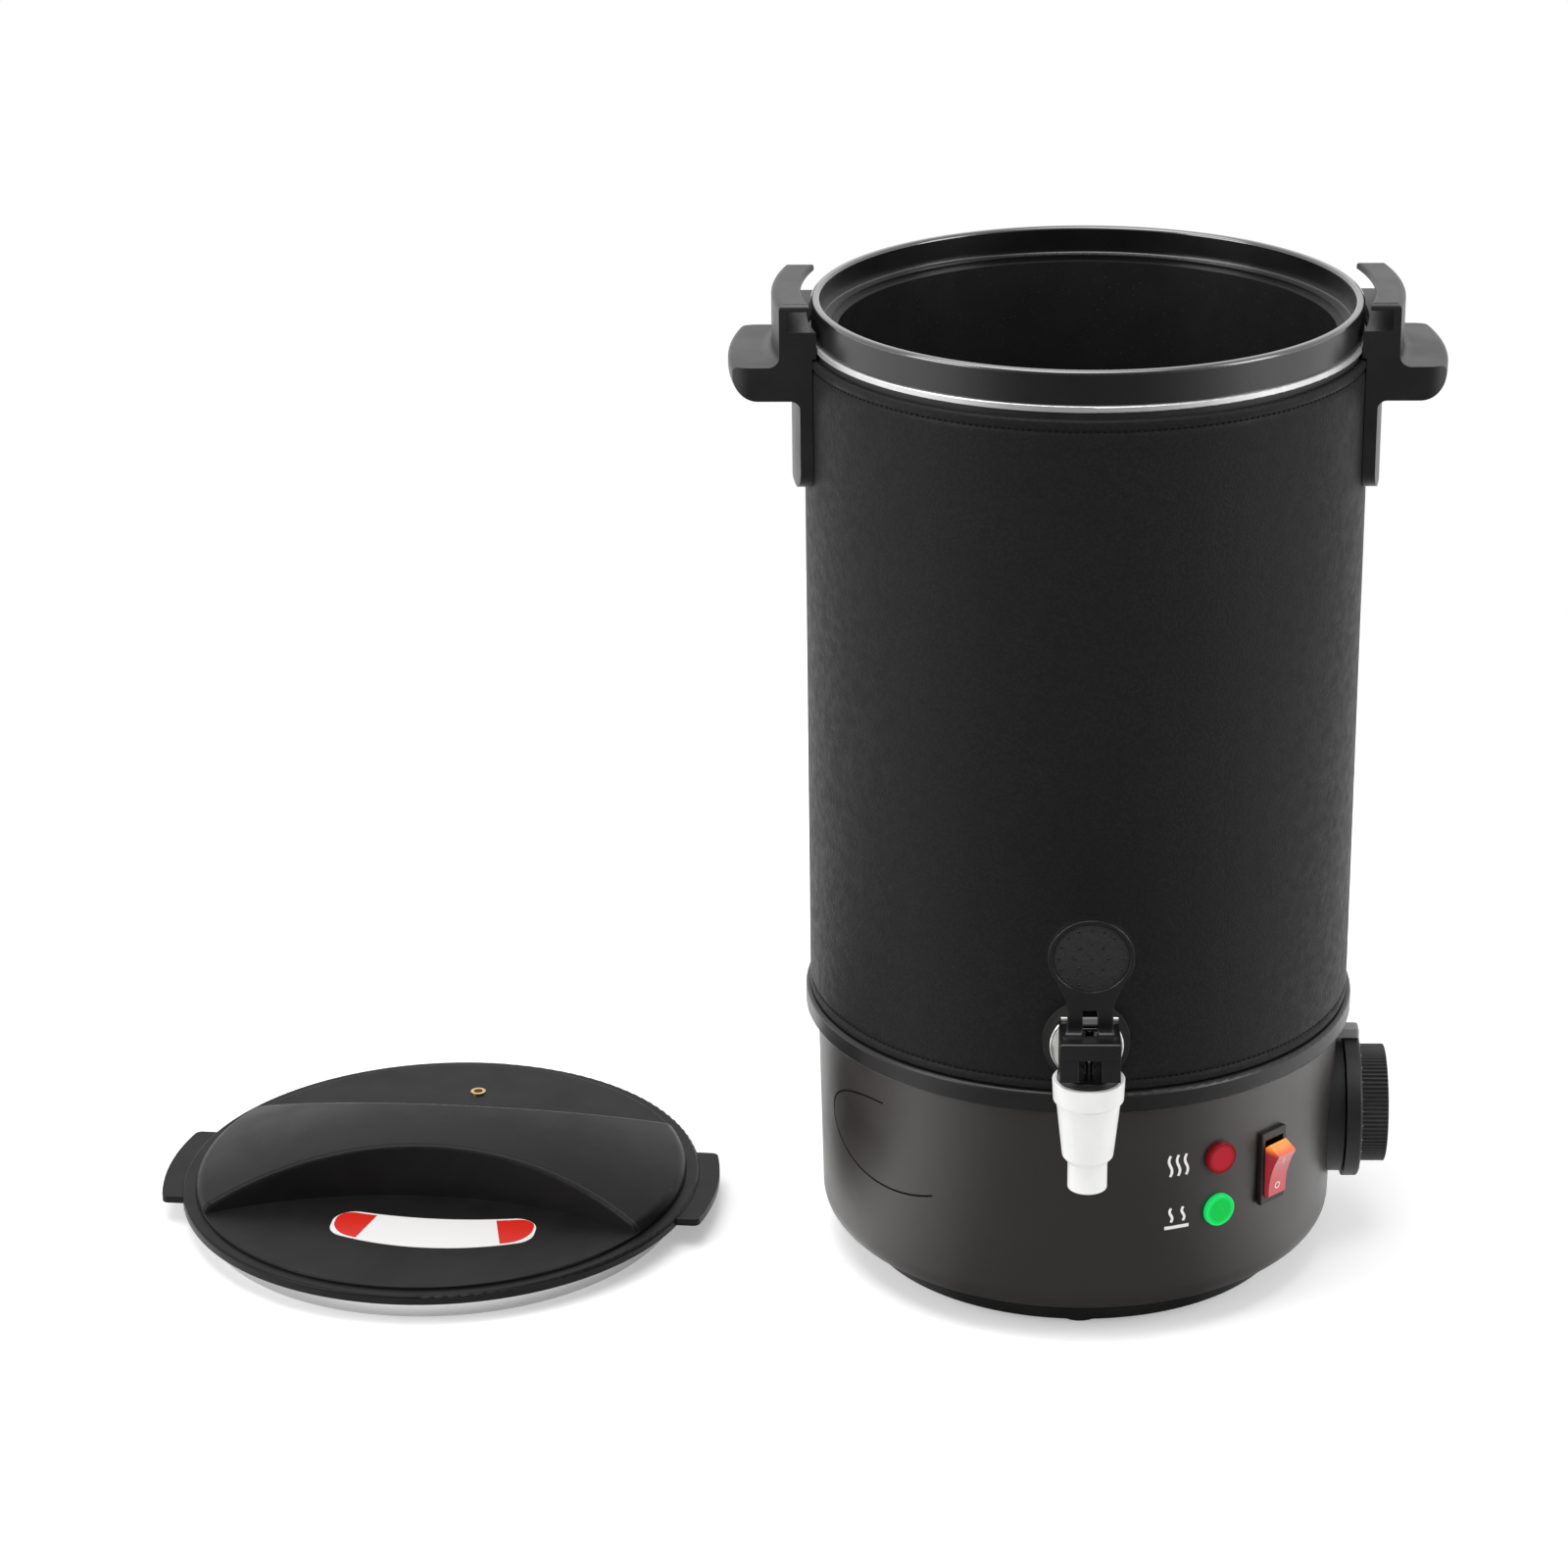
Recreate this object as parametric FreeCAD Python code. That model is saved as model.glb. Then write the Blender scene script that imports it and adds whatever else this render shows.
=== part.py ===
import FreeCAD, Part
import itertools
import math
import os

# A candle wax melter: an electric pot with a leather sleeve on a heater base, a
# lever tap at the front, a thermostat dial at the right and a twist-lock lid
# that lies on the floor at the left.
# Millimetres, +Z up. The origin is on the pot's axis at the floor and the tap
# faces -Y. "Out" is a distance from the pot's axis, and a piece that sits at
# some angle round the pot is built at the front and then turned there.

Vector = FreeCAD.Vector
CENTRE = Vector(0, 0, 0)
RIGHT = Vector(1, 0, 0)
BACK = Vector(0, 1, 0)
UP = Vector(0, 0, 1)

# ---------------------------------------------------------------- clearances
body_gap = 0.3            # between pieces that move against each other
running_gap = 0.05        # radial play of a turning pin or shaft
hole_gap = 0.3            # radial play of a pipe or screw in a plain hole
panel_gap = 0.25          # play of a body in its panel cut-out
seal_gap = 0.05           # between the leather and what is clamped on it
probe_reach = 30.0        # how far cutting tools reach past a wall

# ---------------------------------------------------------- feet and underside
foot_r = 9.0
foot_height = 2.4
foot_circle_inset = 7.0
foot_count = 4
foot_recess_depth = 1.4
foot_screw_r = 1.75
foot_screw_head_r = 3.2
foot_screw_head = 1.0
foot_screw_length = 5.4
plate_thick = 1.2
plate_inset = 4.4
ring_flare = 7.3
ring_step = 9.5
ring_height = 10.1
ring_width = 13.7
ring_lip_width = 12.0
ring_lip_thick = 2.0
ring_screw_inset = 6.2
ring_screw_r = 1.5
ring_screw_head_r = 2.8
ring_screw_head = 2.0
ring_screw_bite = 4.0
vent_half = (12.0, 3.0)
vent_rows = (-30.0, -15.0, 15.0, 30.0)
foot_edge_round = 0.5

# --------------------------------------------------------------- heater housing
housing_height = 93.0
housing_taper = 1.8
housing_step = 0.3
housing_wall = 1.8
housing_corner_r = 10.5
housing_bottom_flange_width = 9.2
housing_top_flange_width = 10.5
housing_flange_thick = 1.5
groove_angle = -48.0
groove_height = 71.5
groove_half_width = 39.5
groove_half_height = 18.5
groove_start = 90.0
groove_end = 310.0
groove_line = 0.9
groove_depth = 0.45

# ------------------------------------------------------- pot, shell and sleeve
ledge_foot_thick = 1.5
ledge_height = 8.8
ledge_foot_width = 10.3
shell_r = 107.3
shell_thick = 1.0
shell_height = 282.6
shell_flange_width = 10.3
sleeve_proud = 2.7
sleeve_thick = 2.4
sleeve_bottom_gap = 0.3
sleeve_top_gap = 3.6
ledge_wall = 1.9
ledge_rounds = (1.2, 1.6)
pot_gap = 10.3
pot_wall = 1.5
pot_floor_rise = 7.0
pot_floor_thick = 2.0
pot_corner_r = 6.0
pot_flange_inset = 0.3
pot_flange_thick = 1.5
rim_height = 12.9
rim_inset = 0.1
rim_wall = 3.6
rim_shelf_width = 4.0
rim_shelf_thick = 2.1
rim_round = 1.3
rim_shelf_round = 0.8
trim_proud = 1.1
trim_height = 2.5
trim_round = 0.4
body_bolt_inset = 6.3
body_bolt_r = 2.0
body_bolt_head_r = 3.6
body_bolt_head = 2.2
body_bolt_tail = 1.0
body_bolt_count = 4
body_bolt_start = 22.0
body_nut_across = 7.0
body_nut_thick = 3.0

# --------------------------------------------------------------------- handles
handle_half_width = 31.0
handle_leg_length = 70.5
handle_leg_thick = 4.7
handle_grip_low_drop = 34.0
handle_grip_high_drop = 20.6
handle_grip_reach = 17.1
handle_grip_round = 9.0
handle_leg_round = 3.5
handle_edge_round = 2.2
handle_wall_round = 4.5
handle_hook_rounds = (2.5, 0.8)
handle_pad_gap = 0.8
handle_sweep = 40.0
handle_wall_reach = 12.5
handle_hook_reach = 1.2
handle_hook_thick = 2.7
handle_slot_reach = 9.6
handle_slot_drop = 6.5
handle_slot_rise = 1.6
handle_pad_inset = 1.2
handle_leg_corner = 8.0
handle_grip_corner = 10.0
handle_screw_r = 2.0
handle_screw_head_r = 3.8
handle_screw_head = 2.4
handle_screw_low = 11.5
handle_screw_high = 44.5
handle_screw_bite = 3.2

# ------------------------------------------------------------- heater and bulb
spreader_r = 80.0
spreader_thick = 6.0
element_circle_r = 58.0
element_tube_r = 4.0
element_gap_angle = 30.0
element_bend_r = 6.0
element_tail = 16.0
clamp_r = 66.0
clamp_thick = 1.5
stud_r = 4.0
stud_length = 26.0
nut_across = 13.0
nut_thick = 6.5
cutout_r = 8.0
cutout_lower_r = 5.5
cutout_depth = 8.0
cutout_place = (0.0, -30.0)
bulb_r = 3.0
bulb_half_length = 25.0
bulb_y = 20.0
bulb_clip_half_length = 10.0
bulb_clip_half_width = 5.0
capillary_r = 0.9
capillary_x = 40.0
capillary_low_z = 82.0
capillary_tail_y = 8.0
block_size = (34.0, 18.0, 14.0)
block_place = (-34.0, 34.0)
block_screw_r = 1.6
block_screw_inset = 4.0
block_screw_sink = 2.0
block_round = 1.0

# ---------------------------------------------------------- thermostat and dial
dial_height = 57.0
dial_skirt_r = 30.5
dial_skirt_thick = 6.4
dial_grip_r = 24.3
dial_grip_height = 11.2
dial_bore_depth = 10.0
dial_rib_count = 84
dial_rib_depth = 0.5
collar_r = 28.5
collar_proud = 2.6
dial_gap = 0.7
shaft_r = 3.0
thermostat_size = (24.0, 30.0, 30.0)
thermostat_inset = 15.0
thermostat_neck_r = 6.0
post_r = 3.6
post_spread = 14.0
post_screw_r = 1.5
post_screw_head_r = 2.8
post_screw_head = 1.8
post_screw_bite = 6.0
neck_front_inset = 1.0
shaft_end_wall = 4.0
dial_rounds = (1.2, 2.2)
pointer_round = 1.2
pointer_gap = 0.4
pointer_half_width = 3.5
pointer_height = 3.9
pointer_reach = 6.9

# ------------------------------------------------------------- lamps and switch
lamp_angle = 30.5
lamp_heights = (77.4, 54.2)
lamp_head_r = 6.75
lamp_flange_thick = 2.0
lamp_dome_r = 6.0
lamp_dome_height = 2.6
lamp_body_r = 5.0
lamp_body_depth = 22.0
lamp_nut_r = 7.5
lamp_nut_thick = 3.0
lamp_nut_gap = 0.4
lamp_edge_round = 0.5
switch_angle = 45.0
switch_height = 66.0
bezel_width = 14.6
bezel_height = 31.7
bezel_thick = 2.0
bezel_round = 1.0
bezel_edge_round = 0.6
switch_body_width = 13.0
switch_body_height = 27.6
switch_body_depth = 20.0
rocker_half_width = 5.0
rocker_half_length = 10.2
rocker_root_half = 12.0
rocker_proud = 4.9
rocker_dip = 1.5
rocker_root = 1.2
rocker_keel = 6.5
rocker_keel_half = 4.0
rocker_pivot_depth = 3.5
rocker_pin_r = 1.2
rocker_pin_reach = 1.0
rocker_tilt = 14.0
rocker_end_gap = 0.6
rocker_edge_round = 0.5
switch_cavity_depth = 11.0
tab_size = (6.3, 0.8, 8.0)
tab_spacing = 8.0

# --------------------------------------------------------------- mains inlet
inlet_height = 57.0
inlet_flange = (31.0, 24.0)
inlet_flange_proud = 1.6
inlet_body = (27.0, 19.8)
inlet_depth = 24.0
inlet_cavity = (24.0, 16.4)
inlet_cavity_depth = 17.0
inlet_corner = 4.2
inlet_flange_round = 2.0
inlet_pin = (2.0, 4.0)
inlet_pin_length = 15.0
inlet_pin_spacing = 14.0
inlet_earth_rise = 4.0

# ----------------------------------------------------------------------- tap
tap_rise = 22.5
tap_neck_length = 26.0
shank_r = 8.0
shank_bore_r = 4.2
shank_inner_reach = 11.5
gasket_r = 17.0
gasket_proud = 2.2
flange_r = 14.4
flange_thick = 3.8
flange_round = 1.0
inner_gasket_r = 14.0
inner_gasket_thick = 3.0
shank_nut_across = 27.0
shank_nut_thick = 7.0
neck_r = 7.5
barrel_r = 12.0
barrel_top_drop = 1.0
barrel_length = 9.0
lower_tube_r = 8.6
lower_tube_length = 16.5
tap_bore_r = 7.2
seat_thick = 3.0
seat_hole_r = 4.0
passage_r = 3.2
passage_end_rise = 1.8
bonnet_thick = 3.0
bonnet_round = 0.6
neck_shoulder = 0.8
stem_r = 1.65
eye_r = 4.5
eye_width = 5.5
eye_slot = 5.9
pivot_rise = 21.5
pivot_pin_r = 1.5
pivot_pin_length = 21.6
plug_r = 6.0
plug_length = 5.2
spring_wire_r = 0.5
spring_r = 4.9
spring_turns = 5.0
spring_end_gap = 0.02

# ----------------------------------------------------------------- tap lever
pad_r = 16.2
pad_centre_rise = 29.5
pad_thick = 5.0
pad_lean = 6.0
pad_disc_r = 14.6
pad_disc_depth = 0.5
neck_half_width = 8.65
neck_flare_rise = 10.0
lever_foot_low_drop = 10.0
lever_foot_high_drop = 3.0
lever_foot_reach = 16.0
cheek_half_width = 11.5
cheek_inner_half = 4.4
cheek_front_reach = 15.2
cheek_back_reach = 6.0
slot_top_rise = 7.0
rod_slot_reach = 8.0
lever_back_reach = 1.4
lever_rounds = (4.0, 2.5, 1.2)
neck_rounds = (1.0, 2.0, 12.0)
neck_flare_share = (0.83, 0.5)
tool_room = 15.0
cam_reach = 5.64
cam_rise = 1.25
cam_r = 22.75

# ------------------------------------------------------------------ tap spout
spout_rim_height = 9.4
spout_collar_height = 0.8
spout_rim_r = 13.9
spout_collar_low_r = 13.5
spout_taper_top_r = 12.3
spout_taper_top_drop = 0.2
spout_taper_low_r = 9.8
spout_taper_low_drop = 23.0
nozzle_r = 7.6
nozzle_top_drop = 25.5
nozzle_low_drop = 36.8
spout_wall = 1.5
spout_fit = 0.2
spout_notch_height = 2.2

# ------------------------------------------------------------------------ lid
lid_gap = 10.8
lid_y = 16.0
lid_turn = -4.8
lid_skirt_depth = 12.0
lid_overhang = 2.8
lid_flange_thick = 2.0
lid_flange_round = 1.2
lid_lip_gap = 0.4
lid_lip_drop = 2.0
lid_tab_reach = 8.6
lid_tab_half = 31.0
lid_tab_thick = 3.0
lid_tab_round = 3.0
dome_inset = 5.5
dome_rise = 23.5
dome_edge_r = 5.5
shell_wall = 2.2
pocket_floor_rise = 1.2
pocket_r = 179.0
pocket_draft = 4.0
band_half_width = 24.0
band_edge_round = 2.5
floor_edge_round = 0.6
liner_gap = 2.2
liner_wall = 0.8
liner_seat = 2.7
eyelet_x = 1.6
eyelet_inset = 28.3
eyelet_r = 3.3
eyelet_bore_r = 1.9
eyelet_head = 0.7
eyelet_wall = 0.6
eyelet_flare = 0.4
label_x = 6.4
label_back_y = 45.0
label_depth = 25.4
label_half_width = 43.0
label_front_r = 98.0
label_back_r = 164.0
label_thick = 0.2
label_round = 9.0
lid_screw_inset = 22.5
lid_screw_y = 13.0
lid_screw_r = 1.5
lid_screw_head_r = 3.0
lid_screw_head = 1.6
lid_screw_length = 8.0
lid_boss_r = 3.6
lid_boss_gap = 0.5

# ------------------------------------------------------ sizes that follow these
housing_top_r = shell_r - housing_step
housing_foot_r = housing_top_r - housing_taper
housing_top_flange_r = housing_top_r - housing_top_flange_width
ring_top_r = housing_foot_r - ring_step
housing_bottom_flange_r = ring_top_r - housing_bottom_flange_width
ring_screw_circle_r = ring_top_r - ring_screw_inset
ring_bottom_r = ring_top_r - ring_flare
ring_inner_r = ring_top_r - ring_width
ring_lip_r = ring_inner_r - ring_lip_width
plate_r = ring_bottom_r - plate_inset
foot_circle_r = plate_r - foot_circle_inset
collar_front = housing_top_r + collar_proud
pointer_front = collar_front + pointer_reach
thermostat_front = housing_top_r - thermostat_inset
inlet_flange_front = housing_top_r + inlet_flange_proud
ledge_inner_r = shell_r - ledge_foot_width
shell_flange_r = shell_r - shell_flange_width
body_bolt_circle_r = shell_r - body_bolt_inset
sleeve_r = shell_r + sleeve_proud
pot_r = shell_r - pot_gap
pot_flange_r = shell_r - pot_flange_inset
rim_outer_r = shell_r - rim_inset
rim_wall_r = rim_outer_r - rim_wall
rim_shelf_r = rim_wall_r - rim_shelf_width
trim_r = shell_r + trim_proud
lid_flange_r = rim_outer_r + lid_overhang
lid_lip_r = rim_outer_r + lid_lip_gap
lid_tab_r = lid_flange_r + lid_tab_reach
dome_r = lid_flange_r - dome_inset
liner_r = rim_wall_r - liner_gap
eyelet_y = dome_r - eyelet_inset
lid_screw_x = dome_r - lid_screw_inset
plate_z = foot_height
ring_top_z = foot_height + ring_height
housing_top_z = ring_top_z + housing_height
shell_bottom_z = housing_top_z + ledge_foot_thick
ledge_top_z = housing_top_z + ledge_height
shell_top_z = shell_bottom_z + shell_height
shell_inner_r = shell_r - shell_thick
sleeve_inner_r = sleeve_r - sleeve_thick
ledge_wall_r = sleeve_r + ledge_wall
sleeve_bottom_z = ledge_top_z + sleeve_bottom_gap
sleeve_top_z = shell_top_z - sleeve_top_gap
pot_floor_z = shell_bottom_z + pot_floor_rise
pot_outer_r = pot_r + pot_wall
pot_under_z = pot_floor_z - pot_floor_thick
rim_bottom_z = shell_top_z + pot_flange_thick
rim_top_z = rim_bottom_z + rim_height
rim_shelf_z = rim_bottom_z + rim_shelf_thick
trim_top_z = rim_bottom_z
handle_leg_bottom = rim_top_z - handle_leg_length
handle_grip_bottom = rim_top_z - handle_grip_low_drop
handle_grip_top = rim_top_z - handle_grip_high_drop
handle_wall_r = sleeve_r + handle_wall_reach
handle_grip_r = handle_wall_r + handle_grip_reach
lid_x = -handle_grip_r - lid_gap - lid_tab_r
handle_hook_r = sleeve_r + handle_hook_reach
handle_slot_r = sleeve_r + handle_slot_reach
handle_pad_r = sleeve_r - handle_pad_inset
spreader_z = pot_under_z - spreader_thick
element_z = spreader_z - element_tube_r
clamp_z = spreader_z - 2 * element_tube_r - clamp_thick
dial_back = collar_front + dial_gap
dial_grip_x = dial_back + dial_skirt_thick
dial_front = dial_grip_x + dial_grip_height
collar_top = dial_height + dial_skirt_r
gasket_front_out = sleeve_r + gasket_proud
flange_front_out = gasket_front_out + flange_thick
shank_inner_out = pot_r - shank_inner_reach
inner_gasket_out = pot_r - inner_gasket_thick
tap_height = pot_floor_z + tap_rise
tap_out = flange_front_out + tap_neck_length
barrel_top_z = tap_height - barrel_top_drop
barrel_bottom_z = barrel_top_z - barrel_length
lower_tube_z = barrel_bottom_z - lower_tube_length
passage_end_z = barrel_bottom_z + passage_end_rise
bonnet_top_z = barrel_top_z + bonnet_thick
seat_top_z = lower_tube_z + seat_thick
plug_bottom_z = seat_top_z + body_gap
plug_top_z = plug_bottom_z + plug_length
pivot_z = bonnet_top_z + pivot_rise
pad_centre_z = pivot_z + pad_centre_rise
neck_flare_z = pivot_z + neck_flare_rise
lever_foot_low_z = pivot_z - lever_foot_low_drop
lever_foot_high_z = pivot_z - lever_foot_high_drop
slot_top_z = pivot_z + slot_top_rise
cam_z = pivot_z + cam_rise
lever_foot_out = tap_out + lever_foot_reach
cheek_front_out = tap_out + cheek_front_reach
cheek_back_out = tap_out - cheek_back_reach
cam_out = tap_out + cam_reach
spout_rim_z = barrel_bottom_z + spout_rim_height
spout_collar_z = barrel_bottom_z + spout_collar_height
spout_notch_z = barrel_bottom_z + spout_notch_height
spout_taper_top_z = barrel_bottom_z - spout_taper_top_drop
spout_taper_low_z = barrel_bottom_z - spout_taper_low_drop
nozzle_top_z = barrel_bottom_z - nozzle_top_drop
nozzle_low_z = barrel_bottom_z - nozzle_low_drop
dome_z = lid_skirt_depth + lid_flange_thick
pocket_floor_z = dome_z + pocket_floor_rise
dome_top_z = dome_z + dome_rise


# ------------------------------------------------------------------ shape tools
def rounded_wire(points, place):
    # A closed outline of (u, v) or (u, v, corner radius) points, laid in space
    # by the function place.
    count = len(points)
    corners = []
    for index, point in enumerate(points):
        here = Vector(point[0], point[1], 0)
        if len(point) == 2:
            corners.append((here, None, here))
            continue
        last = points[index - 1]
        following = points[(index + 1) % count]
        toward_last = (Vector(last[0], last[1], 0) - here).normalize()
        toward_next = (Vector(following[0], following[1], 0) - here).normalize()
        half_turn = toward_last.getAngle(toward_next) / 2
        reach = point[2] / math.tan(half_turn)
        bisector = (toward_last + toward_next).normalize()
        middle = here + bisector * (point[2] / math.sin(half_turn) - point[2])
        corners.append((here + toward_last * reach, middle, here + toward_next * reach))
    edges = []
    for index, (start, middle, end) in enumerate(corners):
        if middle is not None:
            edges.append(Part.Arc(place(start), place(middle), place(end)).toShape())
        next_start = corners[(index + 1) % count][0]
        if end.distanceToPoint(next_start) > 1e-6:
            edges.append(Part.LineSegment(place(end), place(next_start)).toShape())
    return Part.Wire(edges)


def half_section(point):
    return Vector(point.x, 0, point.y)


def side_plane(point):
    return Vector(0, point.x, point.y)


def front_plane(point):
    return Vector(point.x, 0, point.y)


def floor_plane(point):
    return Vector(point.x, point.y, 0)


def turned_ring(points):
    # A full ring from its half section of (radius, height) points.
    return Part.Face(rounded_wire(points, half_section)).revolve(CENTRE, UP, 360)


def prism(points, place, direction, lift=CENTRE):
    face = Part.Face(rounded_wire(points, place))
    return face.translated(lift).extrude(direction)


def cylinder(radius, start, end):
    axis = end - start
    return Part.makeCylinder(radius, axis.Length, start, axis)


def tube(outer_r, inner_r, start, end):
    return cylinder(outer_r, start, end).cut(cylinder(inner_r, start, end))


def box(x_span, y_span, z_span):
    corner = Vector(x_span[0], y_span[0], z_span[0])
    return Part.makeBox(x_span[1] - x_span[0], y_span[1] - y_span[0], z_span[1] - z_span[0], corner)


def joined(shapes):
    return shapes[0].multiFuse(shapes[1:]).removeSplitter()


def front(x, out, z):
    # A point at the front of the pot, some way out from its axis.
    return Vector(x, -out, z)


def around(shape, angle):
    # Turn a shape from the front to its place, + is towards the right.
    return shape.rotated(CENTRE, UP, angle)


def spread_around(shape, count, first=0.0):
    return [around(shape, first + 360.0 / count * index) for index in range(count)]


def hexagon(across, start, end):
    axis = end - start
    corner_r = across / math.sqrt(3)
    corners = [Vector(corner_r * math.cos(math.radians(60 * k)), corner_r * math.sin(math.radians(60 * k)), 0)
               for k in range(7)]
    solid = Part.Face(Part.makePolygon(corners)).extrude(UP * axis.Length)
    solid.Placement = FreeCAD.Placement(start, FreeCAD.Rotation(UP, axis))
    return solid


def pan_screw(radius, head_r, head_thick, seat, tip):
    # Head above the seat point, on the far side from the tip.
    axis = (tip - seat).normalize()
    return cylinder(head_r, seat, seat - axis * head_thick).fuse(cylinder(radius, seat, tip)).removeSplitter()


def bent_tube(points, radius, share=0.45):
    # A round tube on straight runs joined by tangent arcs.
    start = points[0]
    edges = []
    for index in range(1, len(points) - 1):
        here = points[index]
        back = (points[index - 1] - here)
        ahead = (points[index + 1] - here)
        reach = share * min(back.Length, ahead.Length)
        half_turn = back.getAngle(ahead) / 2
        bend_r = reach * math.tan(half_turn)
        bisector = (back.normalize() + ahead.normalize()).normalize()
        middle = here + bisector * (bend_r / math.sin(half_turn) - bend_r)
        arc_start = here + back * reach
        arc_end = here + ahead * reach
        edges.append(Part.LineSegment(start, arc_start).toShape())
        edges.append(Part.Arc(arc_start, middle, arc_end).toShape())
        start = arc_end
    edges.append(Part.LineSegment(start, points[-1]).toShape())
    path = Part.Wire(edges)
    section = Part.Wire(Part.makeCircle(radius, points[0], points[1] - points[0]))
    return path.makePipeShell([section], True, False)


def rounded_edges(shape, radius, chosen):
    return shape.makeFillet(radius, [edge for edge in shape.Edges if chosen(edge)])


def save(name, solids):
    shape = solids[0] if len(solids) == 1 else Part.makeCompound(solids)
    shape.exportStep("parts/" + name + ".step")


# ------------------------------------------------------------ base and its feet
def housing_radius(z):
    share = (z - ring_top_z) / housing_height
    return housing_foot_r + (housing_top_r - housing_foot_r) * share


def housing_core(inset, bottom_inset=0.0):
    # Everything inside the housing's outer face, drawn in by inset.
    low_z = ring_top_z + bottom_inset
    points = [(0, low_z), (housing_radius(low_z) - inset, low_z, housing_corner_r - bottom_inset),
              (housing_top_r - inset, housing_top_z), (0, housing_top_z)]
    return turned_ring(points)


def make_feet():
    foot_low = front(0, foot_circle_r, 0)
    foot_top = front(0, foot_circle_r, foot_height)
    seat = front(0, foot_circle_r, foot_recess_depth)
    foot = cylinder(foot_r, foot_low, foot_top)
    foot = rounded_edges(foot, foot_edge_round, lambda edge: edge.CenterOfMass.z < 0.01)
    recess_r = foot_screw_head_r + hole_gap
    foot = foot.cut(cylinder(recess_r, foot_low - UP, seat))
    foot = foot.cut(cylinder(foot_screw_r + hole_gap, foot_low, foot_top))
    screw = pan_screw(foot_screw_r, foot_screw_head_r, foot_screw_head, seat, seat + UP * foot_screw_length)
    save("rubber_feet", spread_around(foot, foot_count))
    save("foot_screws", spread_around(screw, foot_count))


def make_base_ring():
    plate_top = plate_z + plate_thick
    points = [(plate_r + hole_gap, plate_z), (ring_bottom_r, plate_z), (ring_top_r, ring_top_z),
              (ring_inner_r, ring_top_z), (ring_inner_r, plate_top + ring_lip_thick),
              (ring_lip_r, plate_top + ring_lip_thick), (ring_lip_r, plate_top),
              (plate_r + hole_gap, plate_top)]
    ring = turned_ring(points)
    plate = cylinder(plate_r, UP * plate_z, UP * plate_top)
    foot_centre = front(0, foot_circle_r, 0)
    foot_pilot = cylinder(foot_screw_r, foot_centre, foot_centre + UP * probe_reach)
    foot_hole = cylinder(foot_screw_r + hole_gap, foot_centre, foot_centre + UP * plate_top)
    screw_seat = front(0, ring_screw_circle_r, ring_top_z + housing_wall)
    screw_tip = front(0, ring_screw_circle_r, ring_top_z - ring_screw_bite)
    screw = pan_screw(ring_screw_r, ring_screw_head_r, ring_screw_head, screw_seat, screw_tip)
    pilot = cylinder(ring_screw_r, screw_seat, screw_tip)
    slot = box((-vent_half[0], vent_half[0]), (-vent_half[1], vent_half[1]), (plate_z, plate_top))
    vents = [slot.translated(BACK * offset) for offset in vent_rows]
    ring_cuts = spread_around(foot_pilot, foot_count) + spread_around(pilot, foot_count, 45)
    save("base_ring", [ring.cut(ring_cuts)])
    save("bottom_plate", [plate.cut(spread_around(foot_hole, foot_count) + vents)])
    save("housing_screws", spread_around(screw, foot_count, 45))


def make_groove():
    # A thin line sunk in the housing, most of an oval as seen from outside.
    half = groove_line / 2
    arcs = []
    for offset in (half, -half):
        oval = Part.Ellipse(CENTRE, groove_half_width + offset, groove_half_height + offset)
        arcs.append(Part.ArcOfEllipse(oval, math.radians(groove_start), math.radians(groove_end)).toShape())
    outer, inner = arcs
    ends = [Part.LineSegment(outer.valueAt(at_outer), inner.valueAt(at_inner)).toShape()
            for at_outer, at_inner in ((outer.FirstParameter, inner.FirstParameter),
                                       (outer.LastParameter, inner.LastParameter))]
    face = Part.Face(Part.Wire(Part.__sortEdges__([outer, inner] + ends)))
    face = face.rotated(CENTRE, RIGHT, 90).translated(front(0, housing_top_r + probe_reach, groove_height))
    line = around(face.extrude(BACK * 2 * probe_reach), groove_angle)
    return line.cut(housing_core(groove_depth))


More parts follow.
